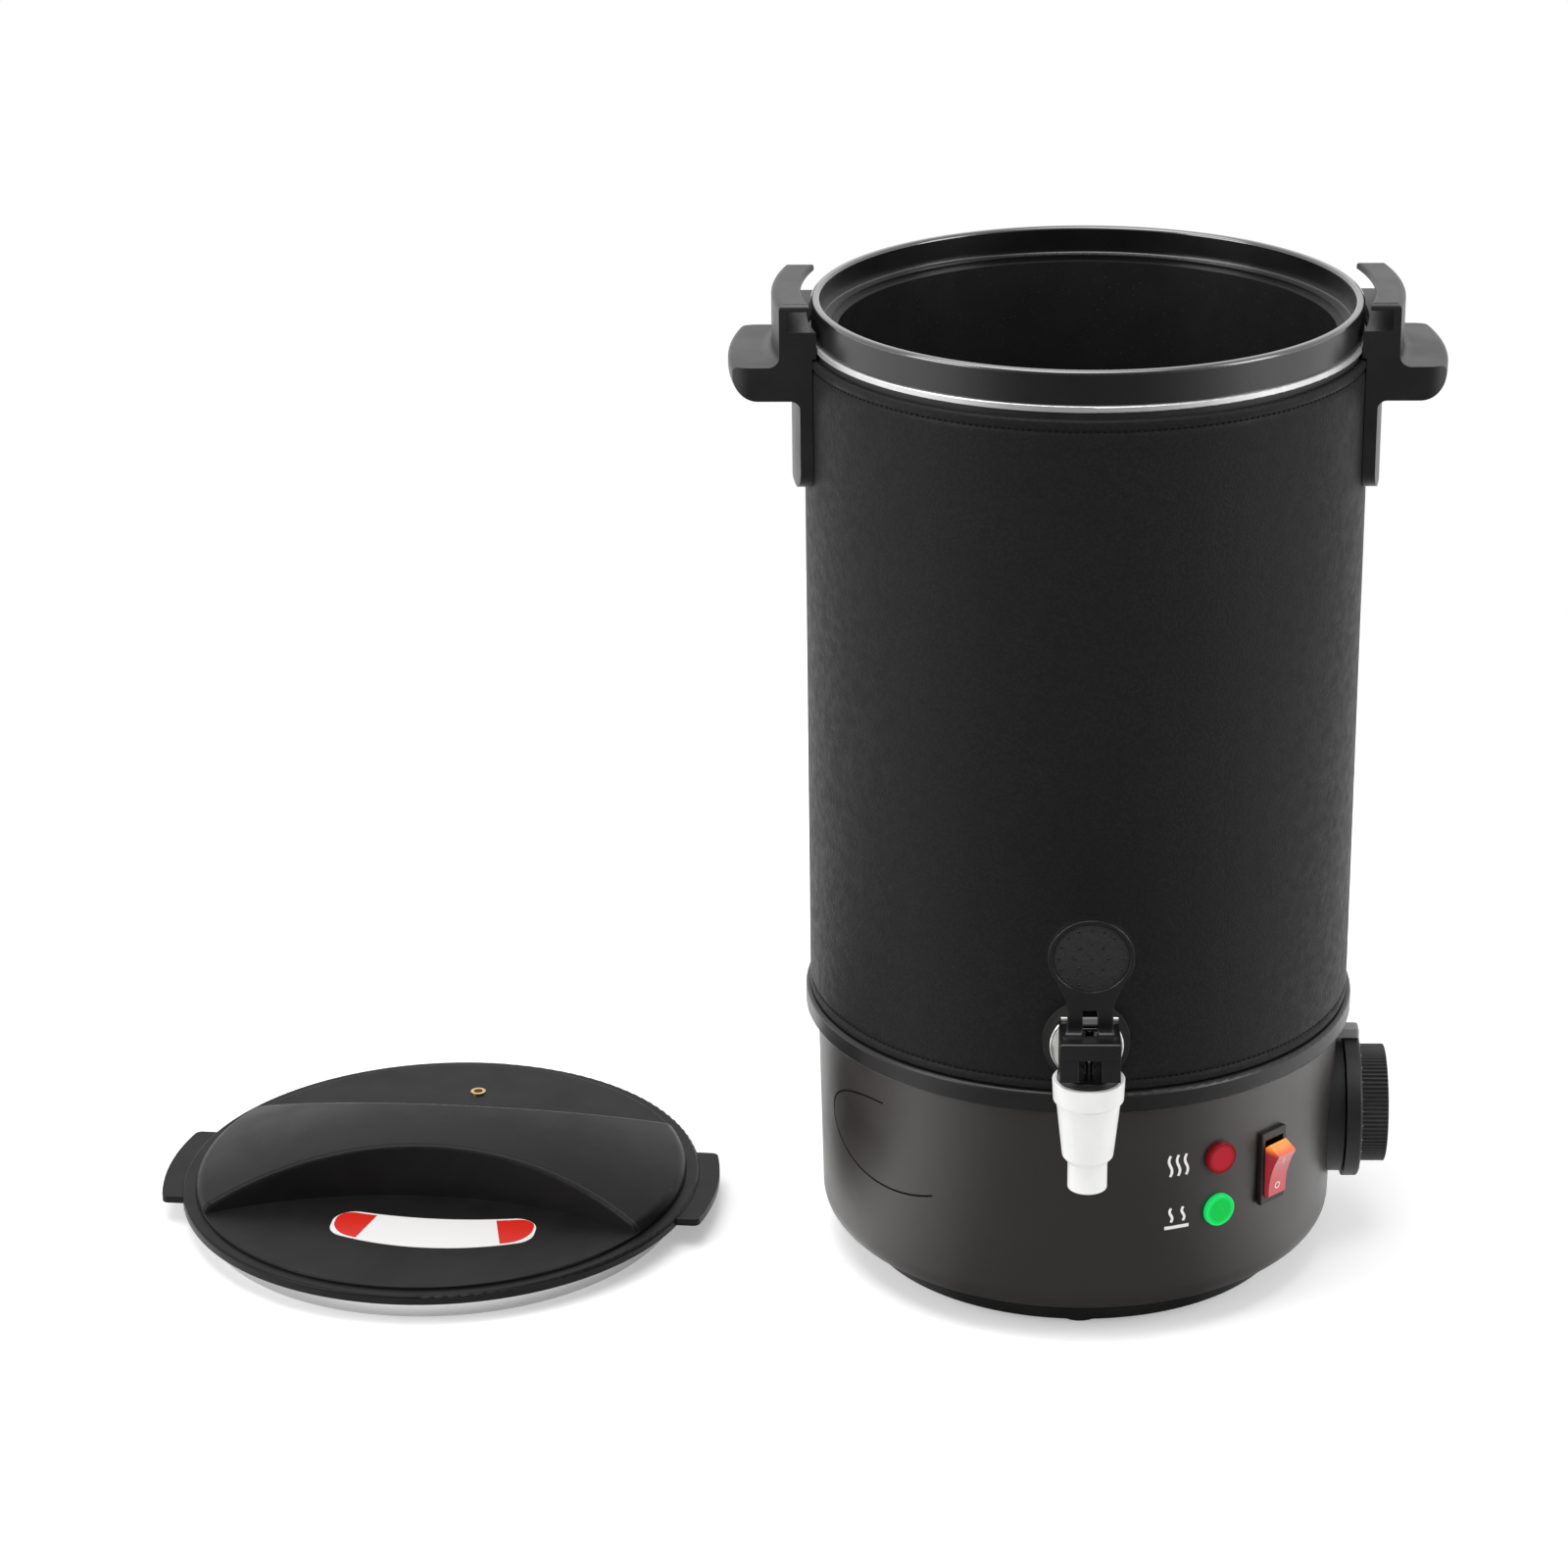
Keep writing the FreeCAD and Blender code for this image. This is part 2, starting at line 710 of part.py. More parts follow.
def make_housing():
    flange_low_z = housing_top_z - housing_flange_thick
    floor_z = ring_top_z + housing_wall
    outer = housing_core(0)
    hollow_points = [(0, floor_z),
                     (housing_radius(floor_z) - housing_wall, floor_z, housing_corner_r - housing_wall),
                     (housing_radius(flange_low_z) - housing_wall, flange_low_z), (0, flange_low_z)]
    shell = outer.cut(turned_ring(hollow_points))
    shell = shell.cut(cylinder(housing_bottom_flange_r, UP * ring_top_z, UP * floor_z))
    shell = shell.cut(cylinder(housing_top_flange_r, UP * flange_low_z, UP * housing_top_z))
    cuts = [make_groove()]
    ring_screw_hole = cylinder(ring_screw_r + hole_gap, front(0, ring_screw_circle_r, ring_top_z),
                               front(0, ring_screw_circle_r, floor_z))
    cuts += spread_around(ring_screw_hole, foot_count, 45)
    bolt_hole = cylinder(body_bolt_r + hole_gap, front(0, body_bolt_circle_r, flange_low_z),
                         front(0, body_bolt_circle_r, housing_top_z))
    cuts += spread_around(bolt_hole, body_bolt_count, body_bolt_start)
    for height in lamp_heights:
        lamp_hole = cylinder(lamp_body_r + hole_gap, front(0, housing_foot_r - probe_reach, height),
                             front(0, housing_top_r + 1, height))
        cuts.append(around(lamp_hole, lamp_angle))
    cuts.append(around(panel_hole(switch_body_width, switch_body_height, switch_height), switch_angle))
    cuts.append(around(panel_hole(inlet_body[0], inlet_body[1], inlet_height), 180))
    neck_hole = cylinder(thermostat_neck_r + hole_gap, front(0, thermostat_front, dial_height),
                         front(0, housing_top_r + 1, dial_height))
    cuts.append(around(neck_hole, 90))
    for side in (-1, 1):
        inner_end = front(side * post_spread, thermostat_front, dial_height)
        outer_end = front(side * post_spread, housing_top_r + 1, dial_height)
        screw_hole = cylinder(post_screw_r + hole_gap, inner_end, outer_end)
        cuts.append(around(screw_hole, 90))
    save("base_housing", [shell.cut(cuts)])


def panel_hole(width, height, centre_z):
    half_x = width / 2 + panel_gap
    half_z = height / 2 + panel_gap
    return box((-half_x, half_x), (-housing_top_r - 1, -housing_foot_r + probe_reach),
               (centre_z - half_z, centre_z + half_z))


# --------------------------------------------------------------- pot and shells
def wall_holes(radius, inner_out, outer_out):
    # The tap's pipe hole through the walls at the front.
    return cylinder(radius, front(0, inner_out, tap_height), front(0, outer_out, tap_height))


def handle_screw_holes(radius):
    cuts = []
    for side in (-90, 90):
        for rise in (handle_screw_low, handle_screw_high):
            height = handle_leg_bottom + rise
            hole = cylinder(radius, front(0, shell_inner_r - 1, height), front(0, sleeve_r + 1, height))
            cuts.append(around(hole, side))
    return cuts


def make_ledge_and_shell():
    bolt_hole = cylinder(body_bolt_r + hole_gap, front(0, body_bolt_circle_r, housing_top_z),
                         front(0, body_bolt_circle_r, shell_bottom_z + shell_thick))
    bolt_holes = spread_around(bolt_hole, body_bolt_count, body_bolt_start)
    ledge = turned_ring([(ledge_inner_r, housing_top_z), (ledge_wall_r, housing_top_z, ledge_rounds[0]),
                         (ledge_wall_r, ledge_top_z, ledge_rounds[1]), (shell_r + seal_gap, ledge_top_z),
                         (shell_r + seal_gap, shell_bottom_z), (ledge_inner_r, shell_bottom_z)])
    shell = turned_ring([(shell_flange_r, shell_bottom_z), (shell_r, shell_bottom_z), (shell_r, shell_top_z),
                         (shell_inner_r, shell_top_z), (shell_inner_r, shell_bottom_z + shell_thick),
                         (shell_flange_r, shell_bottom_z + shell_thick)])
    pipe_hole = wall_holes(shank_r + hole_gap, pot_outer_r + 1, sleeve_r + 1)
    shell_cuts = bolt_holes + [pipe_hole] + handle_screw_holes(handle_screw_r + hole_gap)
    head_seat = front(0, body_bolt_circle_r, shell_bottom_z + shell_thick)
    nut_top = front(0, body_bolt_circle_r, housing_top_z - housing_flange_thick)
    nut_low = nut_top - UP * body_nut_thick
    bolt = pan_screw(body_bolt_r, body_bolt_head_r, body_bolt_head, head_seat, nut_low - UP * body_bolt_tail)
    nut = hexagon(body_nut_across, nut_low, nut_top).cut(cylinder(body_bolt_r, nut_low, nut_top))
    save("sleeve_ledge", [ledge.cut(bolt_holes)])
    save("outer_shell", [shell.cut(shell_cuts)])
    save("body_bolts", spread_around(bolt, body_bolt_count, body_bolt_start)
         + spread_around(nut, body_bolt_count, body_bolt_start))


def make_sleeve():
    sleeve = turned_ring([(sleeve_inner_r, sleeve_bottom_z), (sleeve_r, sleeve_bottom_z),
                          (sleeve_r, sleeve_top_z), (sleeve_inner_r, sleeve_top_z)])
    pipe_hole = wall_holes(shank_r + hole_gap, shell_r, sleeve_r + 1)
    save("leather_sleeve", [sleeve.cut([pipe_hole] + handle_screw_holes(handle_screw_r + hole_gap))])


def make_pot():
    pot = turned_ring([(0, pot_under_z), (pot_outer_r, pot_under_z, pot_corner_r + pot_wall),
                       (pot_outer_r, shell_top_z), (pot_flange_r, shell_top_z),
                       (pot_flange_r, rim_bottom_z), (pot_r, rim_bottom_z),
                       (pot_r, pot_floor_z, pot_corner_r), (0, pot_floor_z)])
    pipe_hole = wall_holes(shank_r + hole_gap, pot_r - probe_reach, pot_outer_r + 1)
    stud = cylinder(stud_r, UP * (pot_under_z - stud_length), UP * pot_under_z)
    save("inner_pot", [pot.cut(pipe_hole)])
    save("pot_stud", [stud])


def make_rim():
    rim = turned_ring([(rim_shelf_r, rim_bottom_z), (rim_outer_r, rim_bottom_z),
                       (rim_outer_r, rim_top_z, rim_round), (rim_wall_r, rim_top_z, rim_round),
                       (rim_wall_r, rim_shelf_z, rim_shelf_round), (rim_shelf_r, rim_shelf_z)])
    trim = turned_ring([(shell_r, trim_top_z - trim_height), (trim_r, trim_top_z - trim_height, trim_round),
                        (trim_r, trim_top_z, trim_round), (shell_r, trim_top_z)])
    save("rim_ring", [rim])
    save("rim_trim", [trim])


def make_handles():
    # The half section runs up the leg, out and round the grip, then up the wall
    # to the hook over the lid's tab, and back down through the slot.
    leg_back = sleeve_r + body_gap
    leg_front = leg_back + handle_leg_thick
    slot_floor = rim_top_z - handle_slot_drop
    slot_roof = rim_top_z + handle_slot_rise
    hook_top = slot_roof + handle_hook_thick
    pad_low = sleeve_top_z + handle_pad_gap
    lower = rounded_wire([(leg_back, handle_leg_bottom), (leg_front, handle_leg_bottom),
                          (leg_front, handle_grip_bottom, handle_leg_round),
                          (handle_grip_r, handle_grip_bottom, handle_grip_round),
                          (handle_grip_r, handle_grip_top, handle_edge_round),
                          (handle_wall_r, handle_grip_top, handle_wall_round),
                          (handle_wall_r, hook_top, handle_hook_rounds[0]),
                          (handle_hook_r, hook_top, handle_hook_rounds[1]), (handle_hook_r, slot_roof),
                          (handle_slot_r, slot_roof), (handle_slot_r, slot_floor),
                          (handle_pad_r, slot_floor), (handle_pad_r, pad_low),
                          (leg_back, pad_low)], half_section)
    profile = Part.Face(lower)
    profile.rotate(CENTRE, UP, -handle_sweep / 2)
    handle = profile.revolve(CENTRE, UP, handle_sweep)
    plan_back = handle_pad_r - 2 * handle_leg_thick
    plan = prism([(plan_back, -handle_half_width),
                  (handle_grip_r, -handle_half_width, handle_grip_corner),
                  (handle_grip_r, handle_half_width, handle_grip_corner), (plan_back, handle_half_width)],
                 floor_plane, UP * (hook_top + 1))
    side = prism([(-handle_half_width, handle_leg_bottom, handle_leg_corner),
                  (handle_half_width, handle_leg_bottom, handle_leg_corner),
                  (handle_half_width, hook_top, handle_edge_round),
                  (-handle_half_width, hook_top, handle_edge_round)],
                 side_plane, RIGHT * (handle_grip_r + 1))
    handle = handle.common(plan).common(side)
    screws = []
    pilots = []
    for rise in (handle_screw_low, handle_screw_high):
        height = handle_leg_bottom + rise
        seat = Vector(math.sqrt(shell_inner_r ** 2 - handle_screw_head_r ** 2), 0, height)
        tip = Vector(leg_back + handle_screw_bite, 0, height)
        screws.append(pan_screw(handle_screw_r, handle_screw_head_r, handle_screw_head, seat, tip))
        pilots.append(cylinder(handle_screw_r, seat, tip))
    handle = handle.cut(pilots)
    save("right_handle", [handle])
    save("left_handle", [handle.mirror(CENTRE, RIGHT)])
    save("handle_screws", screws + [screw.mirror(CENTRE, RIGHT) for screw in screws])


# ------------------------------------------------------------- heater and probe
def element_tube():
    # One tube: up from a tail, round the ring and down again beside the start.
    def on_ring(degrees):
        angle = math.radians(degrees)
        point = Vector(element_circle_r * math.cos(angle), element_circle_r * math.sin(angle), element_z)
        return point, Vector(-math.sin(angle), math.cos(angle), 0)

    def bend(point, onward):
        # From the ring's end, through a quarter turn, to the head of its tail.
        low = point + (onward - UP) * element_bend_r
        middle = point - UP * element_bend_r + (onward + UP) * (element_bend_r / math.sqrt(2))
        return low, middle

    start, start_way = on_ring(180 + element_gap_angle / 2)
    end, end_way = on_ring(540 - element_gap_angle / 2)
    far_side, _ = on_ring(0)
    start_low, start_middle = bend(start, start_way * -1)
    end_low, end_middle = bend(end, end_way)
    drop = UP * (element_tail - element_bend_r)
    path = Part.Wire([Part.LineSegment(start_low - drop, start_low).toShape(),
                      Part.Arc(start_low, start_middle, start).toShape(),
                      Part.Arc(start, far_side, end).toShape(),
                      Part.Arc(end, end_middle, end_low).toShape(),
                      Part.LineSegment(end_low, end_low - drop).toShape()])
    section = Part.Wire(Part.makeCircle(element_tube_r, start_low - drop, UP))
    return path.makePipeShell([section], True, False)


def make_heater():
    spreader = cylinder(spreader_r, UP * spreader_z, UP * pot_under_z)
    spreader = spreader.cut(cylinder(stud_r + hole_gap, UP * spreader_z, UP * pot_under_z))
    clamp = cylinder(clamp_r, UP * clamp_z, UP * (clamp_z + clamp_thick))
    tail_room = element_circle_r * math.sin(math.radians(element_gap_angle / 2)) + hole_gap
    clamp_cuts = [cylinder(stud_r + hole_gap, UP * clamp_z, UP * spreader_z),
                  box((-clamp_r - 1, element_tube_r + 1 - element_circle_r), (-tail_room, tail_room),
                      (clamp_z - 1, spreader_z))]
    clamp_cuts.append(cylinder(cutout_lower_r + hole_gap, Vector(*cutout_place, clamp_z - 1),
                               Vector(*cutout_place, spreader_z)))
    clamp_cuts.append(cylinder(capillary_r + 2 * hole_gap, Vector(capillary_x, bulb_y, clamp_z - 1),
                               Vector(capillary_x, bulb_y, spreader_z)))
    nut_low = UP * (clamp_z - nut_thick)
    nut = hexagon(nut_across, nut_low, UP * clamp_z).cut(cylinder(stud_r, nut_low, UP * clamp_z))
    save("heat_spreader", [spreader])
    save("heating_element", [element_tube()])
    save("element_clamp", [clamp.cut(clamp_cuts)])
    save("clamp_nut", [nut])
    cutout_top = Vector(*cutout_place, spreader_z)
    cutout_seat = Vector(*cutout_place, clamp_z + clamp_thick)
    cutout = joined([cylinder(cutout_r, cutout_seat, cutout_top),
                     cylinder(cutout_lower_r, cutout_seat - UP * cutout_depth, cutout_seat)])
    save("thermal_cutout", [cutout])


def make_probe():
    bulb_z = spreader_z - bulb_r
    bulb_end = Vector(bulb_half_length, bulb_y, bulb_z)
    bulb = cylinder(bulb_r, Vector(-bulb_half_length, bulb_y, bulb_z), bulb_end)
    clip = box((-bulb_clip_half_length, bulb_clip_half_length),
               (bulb_y - bulb_clip_half_width, bulb_y + bulb_clip_half_width),
               (clamp_z + clamp_thick, bulb_z))
    clip = clip.cut(bulb)
    thermostat_top = dial_height + thermostat_size[2] / 2
    tail_x = thermostat_front - thermostat_size[0] / 2
    capillary = bent_tube([bulb_end, Vector(capillary_x, bulb_y, bulb_z),
                           Vector(capillary_x, bulb_y, capillary_low_z + 2),
                           Vector(tail_x, capillary_tail_y, capillary_low_z),
                           Vector(tail_x, capillary_tail_y, thermostat_top)], capillary_r)
    save("thermostat_bulb", [bulb])
    save("bulb_clip", [clip])
    save("capillary_tube", [capillary])


def make_terminal_block():
    length, depth, height = block_size
    middle_x, middle_y = block_place
    floor_z = plate_z + plate_thick
    block = box((middle_x - length / 2, middle_x + length / 2), (middle_y - depth / 2, middle_y + depth / 2),
                (floor_z, floor_z + height))
    block = rounded_edges(block, block_round, lambda edge: edge.CenterOfMass.z > floor_z + height - 0.01)
    screws = []
    for side in (-1, 1):
        seat = Vector(middle_x + side * (length / 2 - block_screw_inset), middle_y,
                      floor_z + height - block_screw_sink)
        tip = Vector(seat.x, seat.y, floor_z)
        screws.append(pan_screw(block_screw_r, 2 * block_screw_r, block_screw_r, seat, tip))
        block = block.cut(cylinder(block_screw_r, tip, seat))
        block = block.cut(cylinder(2 * block_screw_r + hole_gap, seat, seat + UP * (block_screw_sink + 1)))
    save("terminal_block", [block])
    save("block_screws", screws)


# -------------------------------------------------------------- thermostat, dial
def make_thermostat():
    depth, width, height = thermostat_size
    body = box((thermostat_front - depth, thermostat_front), (-width / 2, width / 2),
               (dial_height - height / 2, dial_height + height / 2))
    neck_front = collar_front - neck_front_inset
    neck = cylinder(thermostat_neck_r, Vector(thermostat_front, 0, dial_height),
                    Vector(neck_front, 0, dial_height))
    wall_room = housing_core(housing_wall)
    posts = []
    screws = []
    pilots = []
    collar_cuts = [cylinder(thermostat_neck_r + hole_gap, Vector(thermostat_front, 0, dial_height),
                            Vector(collar_front, 0, dial_height))]
    for side in (-1, 1):
        start = Vector(thermostat_front, side * post_spread, dial_height)
        end = Vector(housing_top_r, side * post_spread, dial_height)
        posts.append(cylinder(post_r, start, end).common(wall_room))
        seat = Vector(collar_front - post_screw_head - body_gap, side * post_spread, dial_height)
        tip = Vector(housing_foot_r - housing_wall - post_screw_bite, side * post_spread, dial_height)
        screws.append(pan_screw(post_screw_r, post_screw_head_r, post_screw_head, seat, tip))
        pilots.append(cylinder(post_screw_r, seat, tip))
        collar_cuts.append(cylinder(post_screw_r + hole_gap, tip, seat))
        collar_cuts.append(cylinder(post_screw_head_r + hole_gap, seat, seat + RIGHT * 5))
    shaft_start = thermostat_front - depth + shaft_end_wall
    shaft_bore = cylinder(shaft_r + running_gap, Vector(shaft_start - 1, 0, dial_height),
                          Vector(neck_front, 0, dial_height))
    body = joined([body, neck] + posts).cut(pilots + [shaft_bore])
    collar = cylinder(collar_r, Vector(thermostat_front, 0, dial_height),
                      Vector(collar_front, 0, dial_height))
    collar = collar.cut([housing_core(0)] + collar_cuts)
    save("thermostat_body", [body])
    save("knob_collar", [collar])
    save("thermostat_screws", screws)
    shaft = cylinder(shaft_r, Vector(shaft_start, 0, dial_height),
                     Vector(dial_back + dial_bore_depth, 0, dial_height))
    save("thermostat_shaft", [shaft])


def make_dial():
    axis_back = Vector(dial_back, 0, dial_height)
    skirt = cylinder(dial_skirt_r, axis_back, Vector(dial_grip_x, 0, dial_height))
    skirt = rounded_edges(skirt, dial_rounds[0], lambda edge: edge.CenterOfMass.x > dial_grip_x - 0.01)
    root_r = dial_grip_r - dial_rib_depth
    outline = []
    for rib in range(dial_rib_count):
        for part, radius in enumerate((root_r, dial_grip_r, dial_grip_r)):
            angle = 2 * math.pi * (rib + part / 3.0) / dial_rib_count
            outline.append(Vector(dial_grip_x, radius * math.cos(angle),
                                  dial_height + radius * math.sin(angle)))
    outline.append(outline[0])
    grip = Part.Face(Part.makePolygon(outline)).extrude(RIGHT * dial_grip_height)
    crown = cylinder(dial_grip_r + 1, Vector(dial_grip_x, 0, dial_height), Vector(dial_front, 0, dial_height))
    crown = rounded_edges(crown, dial_rounds[1], lambda edge: edge.CenterOfMass.x > dial_front - 0.01)
    grip = grip.common(crown)
    knob = skirt.fuse(grip)
    knob = knob.cut(cylinder(shaft_r, axis_back, axis_back + RIGHT * dial_bore_depth))
    save("dial_knob", [knob])
    low_z = collar_top + pointer_gap
    pointer = box((thermostat_front, pointer_front), (-pointer_half_width, pointer_half_width),
                  (low_z, low_z + pointer_height))
    pointer = rounded_edges(pointer, pointer_round, lambda edge: edge.CenterOfMass.z > low_z + 0.01
                            and edge.CenterOfMass.x > pointer_front - pointer_round)
    save("dial_pointer", [pointer.cut(housing_core(0))])


# --------------------------------------------------------------- lamps, switch
def make_lamps():
    bodies = []
    for name, height in zip(("red_lamp_lens", "green_lamp_lens"), lamp_heights):
        wall_out = housing_radius(height + lamp_head_r)
        back = front(0, wall_out, height)
        face = front(0, wall_out + lamp_flange_thick, height)
        lens = cylinder(lamp_head_r, back, face)
        lens = rounded_edges(lens, lamp_edge_round, lambda edge: edge.CenterOfMass.y < face.y + 0.01)
        dome_r_full = (lamp_dome_r ** 2 + lamp_dome_height ** 2) / (2 * lamp_dome_height)
        ball = Part.makeSphere(dome_r_full, face + BACK * (dome_r_full - lamp_dome_height))
        cap = ball.common(cylinder(lamp_head_r, face, face - BACK * lamp_dome_height))
        lens = lens.fuse(cap).removeSplitter()
        save(name, [around(lens, lamp_angle)])
        nut_face = front(0, wall_out - housing_wall - lamp_nut_gap, height)
        rear = cylinder(lamp_body_r, back + BACK * lamp_body_depth, back)
        nut = cylinder(lamp_nut_r, nut_face + BACK * lamp_nut_thick, nut_face)
        bodies.append(around(rear.fuse(nut).removeSplitter(), lamp_angle))
    save("lamp_bodies", bodies)


def switch_front():
    return housing_radius(switch_height + bezel_height / 2) + bezel_thick


def make_switch():
    face_out = switch_front()
    wall_out = face_out - bezel_thick
    half_w = bezel_width / 2
    half_h = bezel_height / 2
    bezel = prism([(-half_w, -half_h, bezel_round), (half_w, -half_h, bezel_round),
                   (half_w, half_h, bezel_round), (-half_w, half_h, bezel_round)],
                  front_plane, BACK * bezel_thick, front(0, face_out, switch_height))
    bezel = rounded_edges(bezel, bezel_edge_round, lambda edge: edge.BoundBox.YMax < -face_out + 0.01)
    body = box((-switch_body_width / 2, switch_body_width / 2), (-wall_out, -wall_out + switch_body_depth),
               (switch_height - switch_body_height / 2, switch_height + switch_body_height / 2))
    open_half_w = rocker_half_width + body_gap
    open_half_h = rocker_root_half + rocker_end_gap
    cavity = box((-open_half_w, open_half_w), (-face_out - 1, -face_out + switch_cavity_depth),
                 (switch_height - open_half_h, switch_height + open_half_h))
    pivot = front(0, face_out - rocker_pivot_depth, switch_height)
    pin_half = rocker_half_width + rocker_pin_reach
    pin_room_half = RIGHT * (pin_half + 0.1)
    pin_room = cylinder(rocker_pin_r + running_gap, pivot - pin_room_half, pivot + pin_room_half)
    frame = joined([bezel, body]).cut([cavity, pin_room])
    save("switch_frame", [around(frame, switch_angle)])

    # Rocker in its level place: (out from the bezel's face, height) points.
    side = [(rocker_proud, rocker_half_length, rocker_edge_round), (-rocker_root, rocker_root_half),
            (-rocker_keel, rocker_keel_half), (-rocker_keel, -rocker_keel_half),
            (-rocker_root, -rocker_root_half), (rocker_proud, -rocker_half_length, rocker_edge_round)]

    def place(point):
        return front(-rocker_half_width, face_out + point.x, switch_height + point.y)

    rocker = Part.Face(rounded_wire(side, place)).extrude(RIGHT * 2 * rocker_half_width)
    dip_r = (rocker_half_length ** 2 + rocker_dip ** 2) / (2 * rocker_dip)
    dip_centre = face_out + rocker_proud - rocker_dip + dip_r
    dip = cylinder(dip_r, front(-half_w, dip_centre, switch_height), front(half_w, dip_centre, switch_height))
    pin = cylinder(rocker_pin_r, pivot - RIGHT * pin_half, pivot + RIGHT * pin_half)
    rocker = joined([rocker.cut(dip), pin]).rotated(pivot, RIGHT, rocker_tilt)
    save("rocker_button", [around(rocker, switch_angle)])

    back_out = wall_out - switch_body_depth
    tab = box((-tab_size[0] / 2, tab_size[0] / 2), (-back_out, -back_out + tab_size[2]),
              (-tab_size[1] / 2, tab_size[1] / 2))
    heights = [switch_height + tab_spacing * step for step in (-1, 0, 1)]
    save("switch_tabs", [around(tab.translated(UP * height), switch_angle) for height in heights])


def make_inlet():
    # Built at the front like the rest, then turned to the back.
    half_w, half_h = inlet_flange[0] / 2, inlet_flange[1] / 2
    flange = prism([(-half_w, -half_h, inlet_flange_round), (half_w, -half_h, inlet_flange_round),
                    (half_w, half_h, inlet_flange_round), (-half_w, half_h, inlet_flange_round)],
                   front_plane, BACK * inlet_depth / 2, front(0, inlet_flange_front, inlet_height))
    flange = flange.cut(housing_core(0))
    body = box((-inlet_body[0] / 2, inlet_body[0] / 2),
               (-inlet_flange_front + 1, -inlet_flange_front + inlet_depth),
               (inlet_height - inlet_body[1] / 2, inlet_height + inlet_body[1] / 2))
    cave_w, cave_h = inlet_cavity[0] / 2, inlet_cavity[1] / 2
    cavity = prism([(-cave_w, -cave_h), (cave_w, -cave_h), (cave_w, cave_h - inlet_corner),
                    (cave_w - inlet_corner, cave_h), (inlet_corner - cave_w, cave_h),
                    (-cave_w, cave_h - inlet_corner)],
                   front_plane, BACK * (inlet_cavity_depth + 1),
                   front(0, inlet_flange_front + 1, inlet_height))
    shell = joined([flange, body]).cut(cavity)
    floor_out = inlet_flange_front - inlet_cavity_depth
    pins = []
    for x, rise in ((-inlet_pin_spacing / 2, 0), (0, inlet_earth_rise), (inlet_pin_spacing / 2, 0)):
        middle_z = inlet_height + rise - inlet_earth_rise / 2
        pin = box((x - inlet_pin[0] / 2, x + inlet_pin[0] / 2), (-floor_out - inlet_pin_length, -floor_out),
                  (middle_z - inlet_pin[1] / 2, middle_z + inlet_pin[1] / 2))
        pins.append(around(pin, 180))
    save("power_inlet", [around(shell, 180)])
    save("inlet_pins", pins)


# ------------------------------------------------------------------------- tap
def make_tap_body():
    shank_front = front(0, flange_front_out, tap_height)
    shank = tube(shank_r, shank_bore_r, front(0, shank_inner_out, tap_height), shank_front)
    flange = tube(flange_r, shank_r, front(0, gasket_front_out, tap_height), shank_front)
    flange = rounded_edges(flange, flange_round, lambda edge: edge.BoundBox.XLength > 2 * flange_r - 0.5
                           and edge.CenterOfMass.y < shank_front.y + 0.01)
    outer_gasket = tube(gasket_r, shank_r, front(0, shell_inner_r, tap_height),
                        front(0, gasket_front_out, tap_height))
    outer_gasket = outer_gasket.cut(cylinder(sleeve_r + seal_gap, UP * (tap_height - probe_reach),
                                             UP * (tap_height + probe_reach)))
    pot_room = cylinder(pot_r, UP * (tap_height - probe_reach), UP * (tap_height + probe_reach))
    inner_gasket = tube(inner_gasket_r, shank_r, front(0, inner_gasket_out, tap_height),
                        front(0, pot_r, tap_height)).common(pot_room)
    nut_start = front(0, inner_gasket_out - shank_nut_thick, tap_height)
    nut_end = front(0, inner_gasket_out, tap_height)
    nut = hexagon(shank_nut_across, nut_start, nut_end).cut(cylinder(shank_r, nut_start, nut_end))
    save("tap_shank", [shank])
    save("tap_flange", [flange])
    save("tap_gasket_outer", [outer_gasket])
    save("tap_gasket_inner", [inner_gasket])
    save("tap_nut", [nut])

    neck = cylinder(neck_r, shank_front, front(0, tap_out, tap_height))
    neck = neck.common(box((-neck_r, neck_r), (-tap_out, 0), (0, barrel_top_z)).fuse(
        box((-neck_r, neck_r), (barrel_r - tap_out + neck_shoulder, 0), (0, bonnet_top_z + 2 * neck_r))))
    barrel = cylinder(barrel_r, front(0, tap_out, barrel_bottom_z), front(0, tap_out, barrel_top_z))
    lower = cylinder(lower_tube_r, front(0, tap_out, lower_tube_z), front(0, tap_out, barrel_bottom_z))
    bore = cylinder(tap_bore_r, front(0, tap_out, seat_top_z), front(0, tap_out, barrel_top_z))
    seat_hole = cylinder(seat_hole_r, front(0, tap_out, lower_tube_z - 1), front(0, tap_out, seat_top_z))
    passage = cylinder(passage_r, front(0, flange_front_out - 4, tap_height),
                       front(0, tap_out - tap_bore_r + 2, passage_end_z))
    body = joined([neck, barrel, lower]).cut([bore, seat_hole, passage])
    save("tap_body", [body])

    bonnet = cylinder(barrel_r, front(0, tap_out, barrel_top_z), front(0, tap_out, bonnet_top_z))
    bonnet = rounded_edges(bonnet, bonnet_round, lambda edge: edge.CenterOfMass.z > bonnet_top_z - 0.01)
    neck_room = cylinder(neck_r + 0.1, shank_front, front(0, tap_out - barrel_r + 1.2, tap_height))
    bonnet = bonnet.cut([cylinder(stem_r + running_gap, front(0, tap_out, barrel_top_z),
                                  front(0, tap_out, bonnet_top_z)), neck_room])
    save("tap_bonnet", [bonnet])


